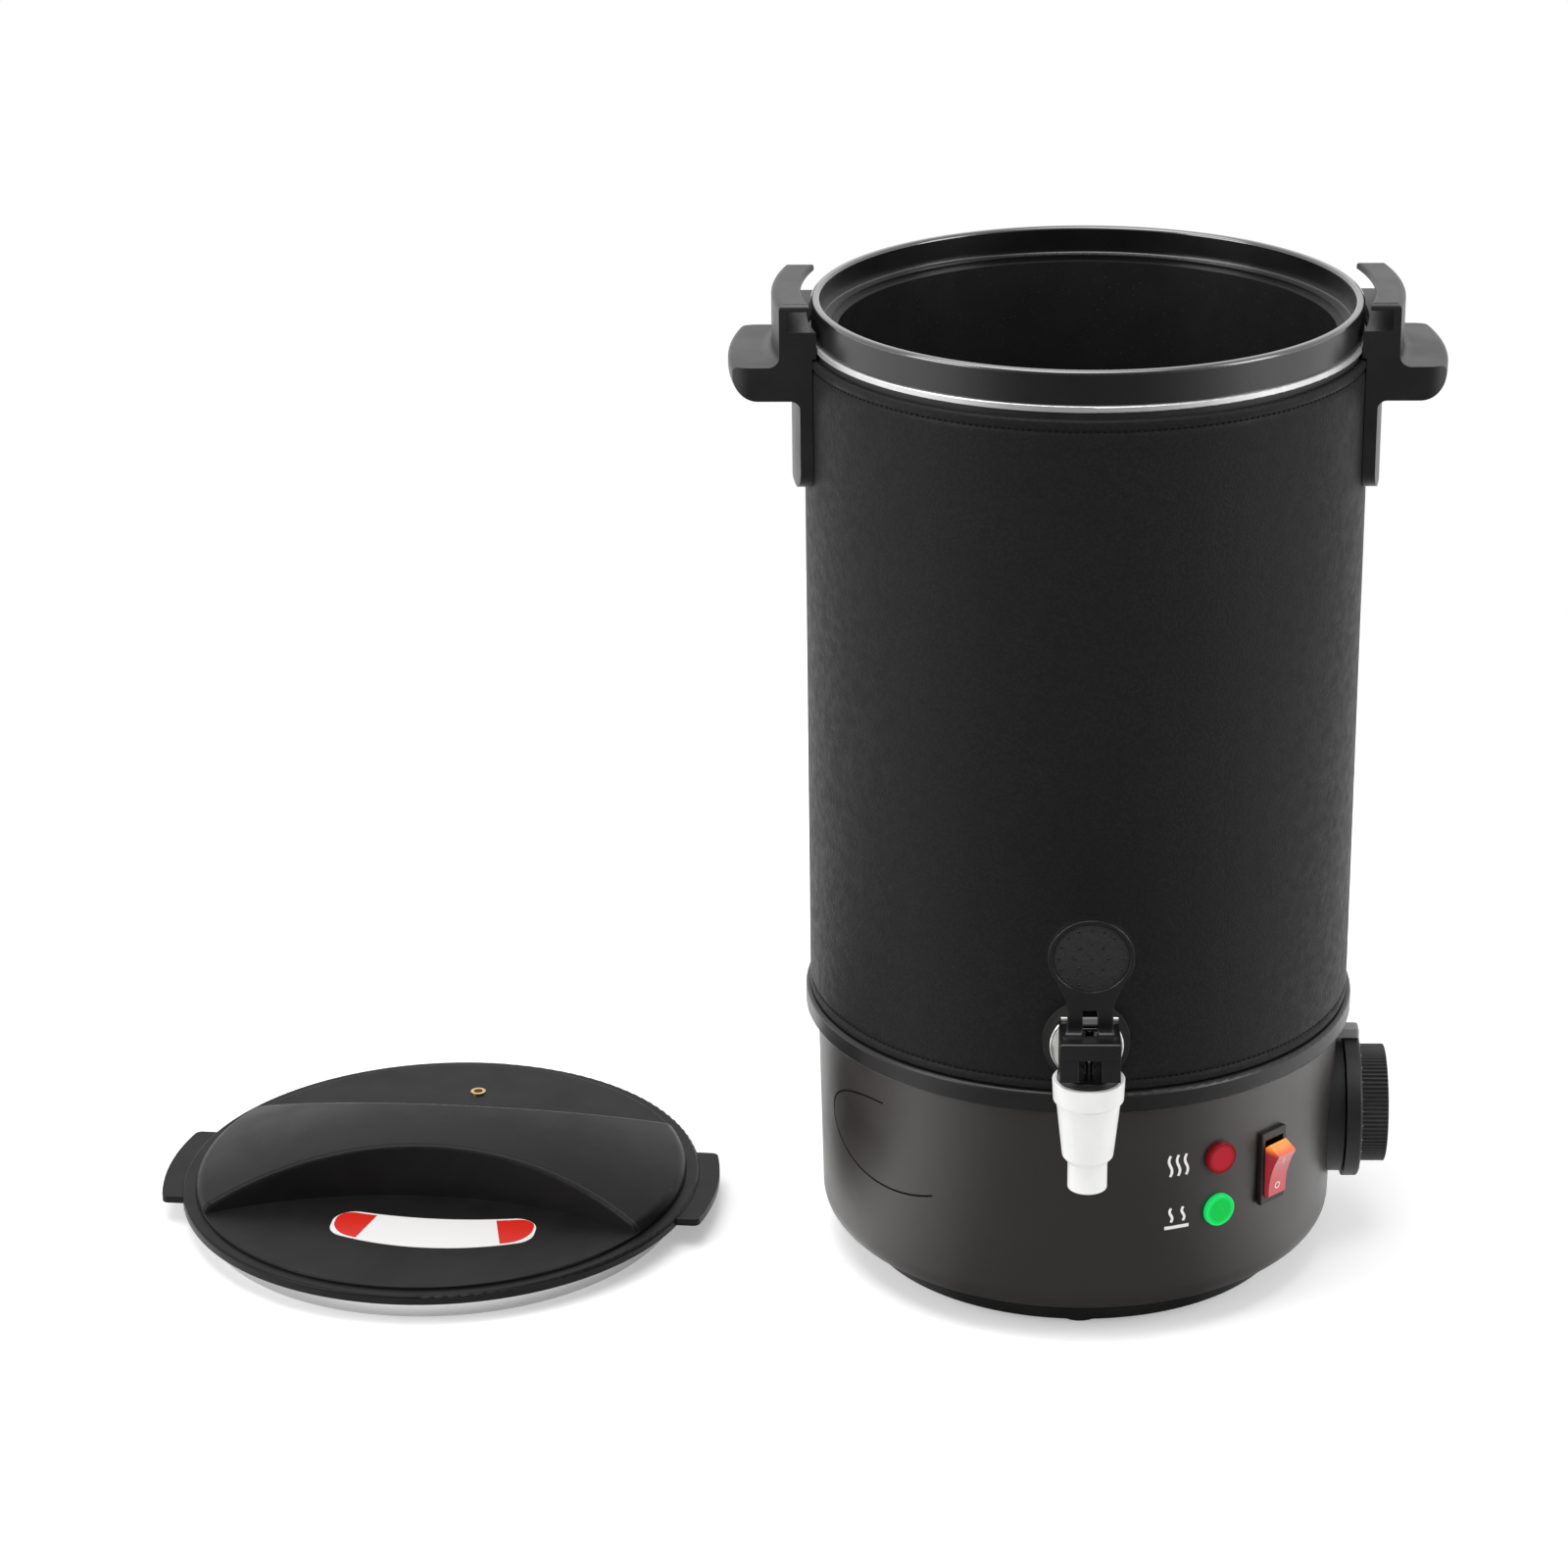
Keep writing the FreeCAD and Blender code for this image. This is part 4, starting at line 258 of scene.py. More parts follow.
finishes = {
    "mouldedGloss": dict(colour=(0.0034, 0.0034, 0.0035), colourTo=(0.0046, 0.0046, 0.0048),
                         roughness=(0.26, 0.33), grainScale=900.0, grainDepth=0.00002, specular=0.5,
                         coat=0.6, coatRoughness=0.26),
    "rimLip": dict(colour=(0.0060, 0.0060, 0.0061), colourTo=(0.0075, 0.0075, 0.0077),
                   roughness=(0.16, 0.22), grainScale=900.0, grainDepth=0.000004, specular=1.0,
                   coat=1.0, coatRoughness=0.10),
    "handlePlastic": dict(colour=(0.0085, 0.0085, 0.0087), colourTo=(0.0115, 0.0115, 0.0117),
                          roughness=(0.33, 0.42), grainScale=1500.0, grainDepth=0.00004, specular=0.5),
    "ledgePlastic": dict(colour=(0.0085, 0.0083, 0.0082), colourTo=(0.0115, 0.0112, 0.0110),
                         roughness=(0.28, 0.36), grainScale=900.0, grainDepth=0.00002, specular=0.38),
    "housingPaint": dict(colour=(0.0165, 0.0132, 0.0115), colourTo=(0.0200, 0.0163, 0.0143),
                         roughness=(0.34, 0.41), grainScale=2200.0, grainDepth=0.000025, specular=0.9,
                         mottleScale=2600.0),
    # Painted shade for the floor of the housing's oval groove.
    "grooveShade": dict(colour=(0.0016, 0.0014, 0.0013), colourTo=(0.0024, 0.0021, 0.0020),
                        roughness=(0.60, 0.70), grainScale=1300.0, grainDepth=0.00002, specular=0.1),
    "basePlastic": dict(colour=(0.0075, 0.0072, 0.0070), colourTo=(0.011, 0.0105, 0.010),
                        roughness=(0.42, 0.52), grainScale=1300.0, grainDepth=0.00005, specular=0.34),
    "footRubber": dict(colour=(0.012, 0.012, 0.012), colourTo=(0.020, 0.020, 0.019),
                       roughness=(0.75, 0.88), grainScale=1400.0, grainDepth=0.00008, specular=0.3),
    "lidPlastic": dict(colour=(0.0050, 0.0050, 0.0051), colourTo=(0.0070, 0.0070, 0.0071),
                       roughness=(0.34, 0.42), grainScale=1700.0, grainDepth=0.00003, specular=0.13),
    "dialPlastic": dict(colour=(0.0085, 0.0085, 0.0086), colourTo=(0.0125, 0.0125, 0.0126),
                        roughness=(0.44, 0.54), grainScale=1800.0, grainDepth=0.00005, specular=0.45),
    "pointerPlastic": dict(colour=(0.20, 0.20, 0.20), colourTo=(0.25, 0.25, 0.25),
                           roughness=(0.36, 0.46), grainScale=1500.0, grainDepth=0.00003),
    "leverPlastic": dict(colour=(0.0075, 0.0075, 0.0077), colourTo=(0.0105, 0.0105, 0.0107),
                         roughness=(0.20, 0.27), grainScale=1500.0, grainDepth=0.00003, specular=0.5,
                         edgeRound=0.0009),
    "gripTexture": dict(colour=(0.0105, 0.0105, 0.0105), colourTo=(0.0190, 0.0190, 0.0190),
                        roughness=(0.55, 0.70), grainScale=1500.0, grainDepth=0.00022, specular=0.5,
                        mottleScale=1200.0),
    # Dark dots on the thumb pad: painted shade.
    "gripDotShade": dict(colour=(0.0022, 0.0022, 0.0022), colourTo=(0.0034, 0.0034, 0.0034),
                     roughness=(0.18, 0.26), grainScale=1500.0, grainDepth=0.00001, specular=0.5),
    "switchPlastic": dict(colour=(0.0100, 0.0085, 0.0080), colourTo=(0.0140, 0.0120, 0.0115),
                          roughness=(0.34, 0.44), grainScale=1600.0, grainDepth=0.00003),
    "spoutPlastic": dict(colour=(0.80, 0.80, 0.79), colourTo=(0.84, 0.84, 0.83), soft=0.12,
                         roughness=(0.30, 0.38), grainScale=700.0, grainDepth=0.00002, specular=0.5),
    "tapChrome": dict(colour=(0.74, 0.73, 0.70), colourTo=(0.80, 0.79, 0.77), metallic=1.0,
                      roughness=(0.07, 0.13), grainScale=300.0, grainDepth=0.00001),
    "trimChrome": dict(colour=(0.68, 0.68, 0.69), colourTo=(0.76, 0.76, 0.77), metallic=0.8,
                       roughness=(0.32, 0.40), grainScale=500.0, grainDepth=0.00001),
    "sealRubber": dict(colour=(0.010, 0.010, 0.010), colourTo=(0.016, 0.016, 0.016),
                       roughness=(0.48, 0.60), grainScale=900.0, grainDepth=0.00003, specular=0.4),
    "plugSilicone": dict(colour=(0.62, 0.60, 0.56), colourTo=(0.68, 0.66, 0.62), soft=0.2,
                         roughness=(0.45, 0.55), grainScale=900.0, grainDepth=0.00003),
    "zincSteel": dict(colour=(0.55, 0.55, 0.54), colourTo=(0.66, 0.66, 0.67), metallic=1.0,
                      roughness=(0.24, 0.36), grainScale=1400.0, grainDepth=0.00002),
    "plateSteel": dict(colour=(0.42, 0.43, 0.43), colourTo=(0.56, 0.56, 0.57), metallic=1.0,
                       roughness=(0.30, 0.46), grainScale=500.0, grainDepth=0.00003, mottleScale=110.0),
    "shellPaint": dict(colour=(0.010, 0.010, 0.010), colourTo=(0.016, 0.016, 0.016),
                       roughness=(0.45, 0.55), grainScale=900.0, grainDepth=0.00003),
    "castAluminium": dict(colour=(0.58, 0.58, 0.59), colourTo=(0.68, 0.68, 0.69), metallic=1.0,
                          roughness=(0.38, 0.50), grainScale=700.0, grainDepth=0.00006),
    "elementSteel": dict(colour=(0.30, 0.28, 0.26), colourTo=(0.42, 0.38, 0.35), metallic=1.0,
                         roughness=(0.34, 0.48), grainScale=600.0, grainDepth=0.00003),
    "probeCopper": dict(colour=(0.66, 0.34, 0.20), colourTo=(0.78, 0.44, 0.29), metallic=1.0,
                        roughness=(0.22, 0.36), grainScale=600.0, grainDepth=0.00002),
    "ceramicCream": dict(colour=(0.62, 0.57, 0.47), colourTo=(0.72, 0.68, 0.59),
                         roughness=(0.50, 0.62), grainScale=800.0, grainDepth=0.00005),
    "controlGrey": dict(colour=(0.16, 0.16, 0.165), colourTo=(0.20, 0.20, 0.205),
                        roughness=(0.42, 0.52), grainScale=1200.0, grainDepth=0.00003),
    "contactBrass": dict(colour=(0.68, 0.49, 0.20), colourTo=(0.78, 0.60, 0.30), metallic=1.0,
                         roughness=(0.20, 0.32), grainScale=900.0, grainDepth=0.00002),
    "eyeletBrass": dict(colour=(0.60, 0.42, 0.20), colourTo=(0.72, 0.53, 0.28), metallic=1.0,
                        roughness=(0.16, 0.26), grainScale=900.0, grainDepth=0.00001),
    "printWhite": dict(colour=(0.74, 0.74, 0.73), colourTo=(0.80, 0.80, 0.79),
                       roughness=(0.50, 0.60), grainScale=1500.0, grainDepth=0.00002),
    "sleeveThread": dict(colour=(0.0016, 0.0016, 0.0017), colourTo=(0.0036, 0.0036, 0.0037),
                         roughness=(0.58, 0.72), grainScale=3500.0, grainDepth=0.00010, specular=0.12,
                         mottleScale=2600.0),
}
material = {name: makeFinish(name, look) for name, look in finishes.items()}


leather = dict(pebble=820.0, smoothness=0.35, pebbleFrom=0.05, pebbleTo=0.62, warp=0.0016, fold=210.0,
               foldDetail=5.0, foldRough=0.6, foldShare=1.6, depth=0.00006, patchScale=26.0,
               patch=(0.75, 1.15), colour=(0.0146, 0.0146, 0.0147), creaseShade=(0.0098, 0.0098, 0.0099),
               specular=0.12, roughness=(0.44, 0.58), sheen=0.02, sheenRoughness=0.4)


def makeLeather(name, look):
    # Pebbled grain: small rounded cells over a slower wrinkle, with painted shade darkening the creases.
    finish, tree, shader, place = startFinish(name, look)
    wobble = tree.nodes.new("ShaderNodeTexNoise")
    wobble.inputs["Scale"].default_value = look["fold"]
    tree.links.new(place, wobble.inputs["Vector"])
    warp = tree.nodes.new("ShaderNodeVectorMath")
    warp.operation = "MULTIPLY_ADD"
    tree.links.new(wobble.outputs["Color"], warp.inputs[0])
    warp.inputs[1].default_value = (look["warp"],) * 3
    tree.links.new(place, warp.inputs[2])
    cells = addCells(tree, warp.outputs["Vector"], look["pebble"])
    cells.feature = "SMOOTH_F1"
    cells.inputs["Smoothness"].default_value = look["smoothness"]
    pebbles = spread(tree, cells.outputs["Distance"], 1.0, 0.0, look["pebbleFrom"], look["pebbleTo"])
    folds = addNoise(tree, place, look["fold"], look["foldDetail"], look["foldRough"])
    height = calculate(tree, "ADD", pebbles, calculate(tree, "MULTIPLY", folds, look["foldShare"]))
    addBump(tree, shader, height, look["depth"])
    patches = spread(tree, addNoise(tree, place, look["patchScale"]), *look["patch"])
    # Painted shade: the creases between the pebbles take the darker colour; the slow patches are random tone.
    lit = calculate(tree, "MULTIPLY", pebbles, patches)
    tree.links.new(mixColours(tree, lit, look["creaseShade"], look["colour"]), shader.inputs["Base Color"])
    tree.links.new(spread(tree, folds, *look["roughness"]), shader.inputs["Roughness"])
    return finish


liner = dict(colour=(0.50, 0.50, 0.50), colourTo=(0.62, 0.62, 0.62), rings=5200.0, ringDetail=2.0,
             ringDepth=0.000012, roughness=(0.12, 0.26), metallic=1.0)


def makeSpun(name, look, middle):
    # Spun steel: fine rings about the lid's own middle.
    finish, tree, shader, place = startFinish(name, look)
    flat = calculateVector(tree, "MULTIPLY", place, (1.0, 1.0, 0.0))
    join = tree.nodes.new("ShaderNodeCombineXYZ")
    tree.links.new(calculateVector(tree, "DISTANCE", flat, (*middle, 0.0)), join.inputs[0])
    tree.links.new(splitPlace(tree, place)[2], join.inputs[2])
    rings = addNoise(tree, join.outputs[0], look["rings"], look["ringDetail"])
    tree.links.new(mixColours(tree, spread(tree, rings, 0.0, 1.0), look["colour"], look["colourTo"]),
                   shader.inputs["Base Color"])
    tree.links.new(spread(tree, rings, *look["roughness"]), shader.inputs["Roughness"])
    addBump(tree, shader, rings, look["ringDepth"])
    return finish


pot = dict(colour=(0.012, 0.012, 0.013), colourTo=(0.0140, 0.0140, 0.0148), mottleScale=45.0,
           fleck=(0.055, 0.055, 0.055), fleckScale=620.0, fleckSize=0.13, fleckPick=0.55,
           wearScale=90.0, roughness=(0.27, 0.30), grainScale=1300.0, grainDetail=2.0, grainDepth=0.00004)


def makeNonStick(name, look):
    # Dark non-stick coating with a scatter of pale flecks.
    finish, tree, shader, place = startFinish(name, look)
    mottle = spread(tree, addNoise(tree, place, look["mottleScale"]), 0.0, 1.0)
    base = mixColours(tree, mottle, look["colour"], look["colourTo"])
    cells = addCells(tree, place, look["fleckScale"])
    small = calculate(tree, "LESS_THAN", cells.outputs["Distance"], look["fleckSize"])
    pick = tree.nodes.new("ShaderNodeSeparateColor")
    tree.links.new(cells.outputs["Color"], pick.inputs[0])
    flecks = calculate(tree, "MULTIPLY", small,
                       calculate(tree, "GREATER_THAN", pick.outputs[0], look["fleckPick"]))
    tree.links.new(mixColours(tree, flecks, base, look["fleck"]), shader.inputs["Base Color"])
    wear = addNoise(tree, place, look["wearScale"])
    tree.links.new(spread(tree, wear, *look["roughness"]), shader.inputs["Roughness"])
    addBump(tree, shader, addNoise(tree, place, look["grainScale"], look["grainDetail"]), look["grainDepth"])
    return finish


lens = dict(rings=5200.0, facets=900.0, share=0.5, depth=0.00005, coreR=0.0046, edgeR=0.0062,
            evenRoughness=0.12, specular=0.08, coat=0.15, coatRoughness=0.04)
lamps = {
    "red": dict(lens, colour=(0.090, 0.002, 0.004), core=(0.215, 0.007, 0.014), glow=0.90),
    "green": dict(lens, colour=(0.006, 0.42, 0.085), core=(0.003, 0.30, 0.040), glow=0.85),
}


def makeLens(name, look, middle):
    # Moulded clear lens: prism rings and facets inside, glowing from the middle.
    finish, tree, shader, place = startFinish(name, look)
    reach = calculateVector(tree, "DISTANCE", place, middle)
    rings = calculate(tree, "SINE", calculate(tree, "MULTIPLY", reach, look["rings"]))
    facets = addCells(tree, place, look["facets"]).outputs["Distance"]
    height = calculate(tree, "ADD", calculate(tree, "MULTIPLY", rings, look["share"]),
                       calculate(tree, "MULTIPLY", facets, look["share"]))
    addBump(tree, shader, height, look["depth"])
    inward = spread(tree, reach, 1.0, 0.0, look["coreR"], look["edgeR"])
    colour = mixColours(tree, inward, look["colour"], look["core"])
    tree.links.new(colour, shader.inputs["Base Color"])
    tree.links.new(colour, shader.inputs["Emission Color"])
    return finish


rocker = dict(face=(0.48, 0.040, 0.052), lit=(0.93, 0.23, 0.035), glows=(0.10, 0.72), litFrom=0.0728,
              litTo=0.0762, cloudScale=380.0, cloud=(0.85, 1.15), grainScale=900.0, grainDetail=2.0,
              grainDepth=0.00002, evenRoughness=0.16, coat=0.5, coatRoughness=0.06)


def makeRocker(name, look):
    # Clear red rocker with a lamp under its upper end: the end glows orange.
    finish, tree, shader, place = startFinish(name, look)
    upper = spread(tree, splitPlace(tree, place)[2], 0.0, 1.0, look["litFrom"], look["litTo"])
    cloud = spread(tree, addNoise(tree, place, look["cloudScale"]), *look["cloud"])
    lit = calculate(tree, "MULTIPLY", upper, cloud)
    colour = mixColours(tree, lit, look["face"], look["lit"])
    tree.links.new(colour, shader.inputs["Base Color"])
    tree.links.new(colour, shader.inputs["Emission Color"])
    tree.links.new(spread(tree, lit, *look["glows"], 0.0, 1.0), shader.inputs["Emission Strength"])
    addBump(tree, shader, addNoise(tree, place, look["grainScale"], look["grainDetail"]), look["grainDepth"])
    return finish


sticker = dict(paper=(0.70, 0.69, 0.685), red=(0.54, 0.014, 0.006), middleX=0.0064, halfWidth=0.043,
               frontR=0.098, frontMiddle=0.0276, backR=0.164, backMiddle=0.119, corner=0.009, edge=0.0011,
               redFrom=0.0254, redSlant=0.25, backEdge=0.045, specular=0.25, wearScale=40.0,
               roughness=(0.29, 0.32), grainScale=1400.0, grainDepth=0.000004)


def makeSticker(name, look, middle, turn):
    # White paper with two red ends inside a thin white border; nothing is printed on it.
    finish, tree, shader, place = startFinish(name, look)

    def combine(operation, first, second=None):
        return calculate(tree, operation, first, second)

    local = tree.nodes.new("ShaderNodeMapping")
    local.vector_type = "TEXTURE"
    local.inputs["Location"].default_value = (*middle, 0.0)
    local.inputs["Rotation"].default_value = (0.0, 0.0, turn)
    tree.links.new(place, local.inputs["Vector"])
    flat = calculateVector(tree, "MULTIPLY", local.outputs["Vector"], (1.0, 1.0, 0.0))
    across, along, _ = splitPlace(tree, flat)
    fromFront, fromBack = [calculateVector(tree, "DISTANCE", flat, (look["middleX"], arcMiddle, 0.0))
                           for arcMiddle in (look["frontMiddle"], look["backMiddle"])]
    sideways = combine("ABSOLUTE", combine("SUBTRACT", across, look["middleX"]))
    # How far in from the ends and from the two long edges, then how far out past the corners' middles.
    fromEnd = combine("SUBTRACT", look["halfWidth"], sideways)
    fromLong = combine("MINIMUM", combine("SUBTRACT", look["frontR"], fromFront),
                       combine("SUBTRACT", fromBack, look["backR"]))
    past = [combine("MAXIMUM", 0.0, combine("SUBTRACT", look["corner"], distance))
            for distance in (fromEnd, fromLong)]
    fromCorner = combine("SQRT", combine("ADD", *[combine("MULTIPLY", side, side) for side in past]))
    inside = combine("LESS_THAN", fromCorner, look["corner"] - look["edge"])
    slant = combine("MULTIPLY", combine("ADD", along, look["backEdge"]), look["redSlant"])
    ends = combine("GREATER_THAN", combine("ADD", sideways, slant), look["redFrom"])
    red = combine("MULTIPLY", ends, inside)
    tree.links.new(mixColours(tree, red, look["paper"], look["red"]), shader.inputs["Base Color"])
    wear = addNoise(tree, place, look["wearScale"])
    tree.links.new(spread(tree, wear, *look["roughness"]), shader.inputs["Roughness"])
    addBump(tree, shader, addNoise(tree, place, look["grainScale"]), look["grainDepth"])
    return finish


lidPlace = dict(middle=(-0.269, 0.016), turn=-4.8)
material["sleeveLeather"] = makeLeather("sleeveLeather", leather)
material["potCoating"] = makeNonStick("potCoating", pot)
material["rockerRed"] = makeRocker("rockerRed", rocker)
material["lidSticker"] = makeSticker("lidSticker", sticker, lidPlace["middle"],
                                     math.radians(lidPlace["turn"]))
material["spunSteel"] = makeSpun("spunSteel", liner, lidPlace["middle"])
for colourName, look in lamps.items():
    low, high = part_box(colourName + "_lamp_lens")
    material[colourName + "Lens"] = makeLens(colourName + "Lens", look, (low + high) / 2)
print("melter: finishes made,", len(material))

wearers = {
    "mouldedGloss": ["rim_ring"],
    "handlePlastic": ["right_handle", "left_handle"],
    "ledgePlastic": ["sleeve_ledge"],
    "housingPaint": ["base_housing"],
    "basePlastic": ["base_ring"],
    "footRubber": ["rubber_feet"],
    "plateSteel": ["bottom_plate", "element_clamp"],
    "zincSteel": ["foot_screws", "housing_screws", "body_bolts", "pot_stud", "handle_screws", "clamp_nut",
                  "block_screws", "thermostat_screws", "thermostat_shaft", "tap_spring", "lid_screws",
                  "bulb_clip"],
    "shellPaint": ["outer_shell"],
    "sleeveLeather": ["leather_sleeve"],
    "potCoating": ["inner_pot"],
    "trimChrome": ["rim_trim"],
    "castAluminium": ["heat_spreader"],
    "elementSteel": ["heating_element"],
    "controlGrey": ["thermal_cutout", "thermostat_body"],
    "probeCopper": ["thermostat_bulb", "capillary_tube"],
    "ceramicCream": ["terminal_block", "lamp_bodies"],
    "dialPlastic": ["dial_knob", "knob_collar"],
    "pointerPlastic": ["dial_pointer"],
    "redLens": ["red_lamp_lens"],
    "greenLens": ["green_lamp_lens"],
    "switchPlastic": ["switch_frame", "power_inlet"],
    "rockerRed": ["rocker_button"],
    "contactBrass": ["switch_tabs", "inlet_pins"],
    "tapChrome": ["tap_shank", "tap_flange", "tap_body", "tap_stem", "tap_pin", "tap_nut"],
    "sealRubber": ["tap_gasket_outer", "tap_gasket_inner"],
    "plugSilicone": ["seat_plug"],
    "leverPlastic": ["tap_lever", "tap_bonnet"],
    "spoutPlastic": ["tap_spout"],
    "lidPlastic": ["lid_shell"],
    "spunSteel": ["lid_liner"],
    "eyeletBrass": ["lid_eyelet"],
    "lidSticker": ["lid_label"],
}
dressed = set()
for finishName, names in wearers.items():
    for nodeName in names:
        for materialSlot in nodes[nodeName].material_slots:
            materialSlot.material = material[finishName]
        dressed.add(nodeName)
print("melter: CAD parts without a finish:", sorted(set(nodes) - dressed))


# Leather sleeve: one sheet wrapped round the can, hems turned at both edges, lapped seam at the back

sleeve = dict(outerR=0.1100, innerR=0.1076, bottomZ=0.1146, topZ=0.3860, around=432, rows=34,
              edgeRun=(0.0, 0.0003, 0.0008, 0.0016, 0.0022, 0.0027, 0.0032, 0.0037, 0.0042, 0.0047, 0.0052,
                       0.0058, 0.0066, 0.0078),
              turnedEdge=0.0007, innerIn=0.004, hemBulge=0.00012, hemFrom=0.0022, hemTo=0.0034,
              stitchIn=0.0042, stitchSink=0.00055, stitchWidth=0.0009, lap=0.0007, lapHalf=3.4, lapEdge=0.35,
              lapShares=(0.0, 0.25, 0.5, 0.75, 1.0), tapHoleR=0.0083, tapHoleZ=0.1365, tapHoleDepth=0.03,
              tapHoleSides=48)


def smoothStep(value, start, end):
    share = min(1.0, max(0.0, (value - start) / (end - start)))
    return share * share * (3 - 2 * share)


def sleeveSurface(azimuth, height):
    # Outer radius of the leather at a place on it.
    fromEdge = min(height - sleeve["bottomZ"], sleeve["topZ"] - height)
    radius = sleeve["outerR"]
    radius += sleeve["hemBulge"] * (1 - smoothStep(fromEdge, sleeve["hemFrom"], sleeve["hemTo"]))
    offLine = abs(fromEdge - sleeve["stitchIn"]) / sleeve["stitchWidth"]
    radius -= sleeve["stitchSink"] * math.exp(-offLine * offLine)
    fromBack = abs((azimuth % 360.0) - 180.0)
    lapStart = sleeve["lapHalf"] - sleeve["lapEdge"]
    return radius + sleeve["lap"] * (1 - smoothStep(fromBack, lapStart, sleeve["lapHalf"]))


def sleeveRings():
    # One closed section of the leather at each azimuth: up the outside, down the inside.
    bottom, top, edgeRun = sleeve["bottomZ"], sleeve["topZ"], list(sleeve["edgeRun"])
    plain = [edgeRun[-1] + (top - bottom - 2 * edgeRun[-1]) * row / sleeve["rows"]
             for row in range(1, sleeve["rows"])]
    heights = [bottom + run for run in edgeRun + plain] + [top - run for run in reversed(edgeRun)]
    azimuths = [360.0 * step / sleeve["around"] for step in range(sleeve["around"])]
    azimuths += [180.0 + side * (sleeve["lapHalf"] - share * sleeve["lapEdge"])
                 for side in (-1, 1) for share in sleeve["lapShares"]]
    turned = sleeve["turnedEdge"]
    rings = []
    for azimuth in sorted(set(round(azimuth, 4) for azimuth in azimuths)):
        section = []
        for height in heights:
            radius = sleeveSurface(azimuth, height)
            fromEdge = min(height - bottom, top - height)
            if fromEdge < turned:
                radius -= turned - math.sqrt(turned ** 2 - (turned - fromEdge) ** 2)
            section.append(roundPot(radius, azimuth, height))
        for height in (top, top - sleeve["innerIn"], (top + bottom) / 2, bottom + sleeve["innerIn"], bottom):
            section.append(roundPot(sleeve["innerR"], azimuth, height))
        rings.append(section)
    return rings


def cutTapHole(piece):
    # A round hole lets the tap's pipe through.
    hole = bpy.data.meshes.new("tapHole")
    build = bmesh.new()
    bmesh.ops.create_cone(build, cap_ends=True, segments=sleeve["tapHoleSides"], radius1=sleeve["tapHoleR"],
                          radius2=sleeve["tapHoleR"], depth=sleeve["tapHoleDepth"])
    build.transform(Matrix.Translation((0, -sleeve["outerR"], sleeve["tapHoleZ"]))
                    @ Matrix.Rotation(math.radians(90), 4, "X"))
    build.to_mesh(hole)
    build.free()
    cutter = addObject("tapHole", hole)
    cut = piece.modifiers.new("tapHole", "BOOLEAN")
    cut.operation = "DIFFERENCE"
    cut.solver = "EXACT"
    cut.object = cutter
    bpy.context.view_layer.update()
    cutMesh = finalMesh(piece)
    piece.modifiers.clear()
    piece.data = cutMesh
    bpy.data.objects.remove(cutter)


def makeSleeve():
    shape = Shapes()
    shape.loft(sleeveRings(), closed=True)
    piece = addPiece("sleeveWrap", shape, "pot", "sleeveLeather")
    cutTapHole(piece)
    piece.data.materials.clear()
    piece.data.materials.append(material["sleeveLeather"])
    bpy.context.view_layer.update()
    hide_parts("leather_sleeve")
    return piece


stitch = dict(pitch=0.00255, length=0.00185, radius=0.00034, hemProud=0.25, seamProud=0.2, seamOffset=2.35,
              fromHem=0.002)


def makeStitching():
    # Lock stitches along both hems and down both sides of the back seam.
    shape = Shapes()

    def addStitch(start, end, proud):
        ends = [roundPot(sleeveSurface(azimuth, height) + stitch["radius"] * proud, azimuth, height)
                for azimuth, height in (start, end)]
        shape.addThread(*ends, roundPot(1.0, start[0], 0.0), stitch["radius"])

    count = round(2 * math.pi * sleeve["outerR"] / stitch["pitch"])
    share = stitch["length"] / stitch["pitch"] * 360.0 / count
    bottom = sleeve["bottomZ"] + sleeve["stitchIn"]
    top = sleeve["topZ"] - sleeve["stitchIn"]
    for height in (bottom, top):
        for index in range(count):
            azimuth = 360.0 * index / count
            addStitch((azimuth, height), (azimuth + share, height), stitch["hemProud"])
    low = bottom + stitch["fromHem"]
    high = top - stitch["fromHem"]
    rows = round((high - low) / stitch["pitch"])
    for azimuth in (180.0 - stitch["seamOffset"], 180.0 + stitch["seamOffset"]):
        for index in range(rows):
            start = low + (high - low) * index / rows
            addStitch((azimuth, start), (azimuth, start + stitch["length"]), stitch["seamProud"])
    return addPiece("sleeveStitching", shape, "pot", "sleeveThread")


wrap = makeSleeve()
stitching = makeStitching()
# Laid flat, the sheet has 12 mm more for the lap and 5 mm more for each turned hem.
print("melter: sleeve and stitching made")


# Polished lip along the top of the rim

rimLip = dict(outerR=0.1072, innerR=0.1036, topZ=0.4040, round=0.0013, skin=0.00003, tuck=0.0003,
              around=288, arcSteps=8)


def makeRimLip():
    reach = rimLip["round"] + rimLip["skin"]
    level = rimLip["topZ"] - rimLip["round"]
    foot = level - 2 * rimLip["tuck"]
    profile = [(rimLip["outerR"] - rimLip["tuck"], foot)]
    for middle, start in ((rimLip["outerR"] - rimLip["round"], 0.0),
                          (rimLip["innerR"] + rimLip["round"], 90.0)):
        for step in range(rimLip["arcSteps"] + 1):
            turn = math.radians(start + 90.0 * step / rimLip["arcSteps"])
            profile.append((middle + reach * math.cos(turn), level + reach * math.sin(turn)))
    profile.append((rimLip["innerR"] + rimLip["tuck"], foot))
    shape = Shapes()
    shape.loft([[roundPot(radius, 360.0 * step / rimLip["around"], height) for radius, height in profile]
                for step in range(rimLip["around"])], closed=True)
    addPiece("rimLip", shape, "pot", "rimLip")


makeRimLip()
print("melter: rim lip made")


# Tap lever: textured disc with rows of dots in the thumb pad; the dots' dark colour is painted shade.

thumbPad = dict(faceY=-0.151528, middleZ=0.1895, lean=6.0, sink=0.0005, discR=0.0144, thick=0.00012,
                shoulder=0.5, innerShare=0.5, sides=64, dotR=0.00056, dotHeight=0.00036,
                rows=((1, 0.0), (8, 0.0062), (16, 0.0123)))


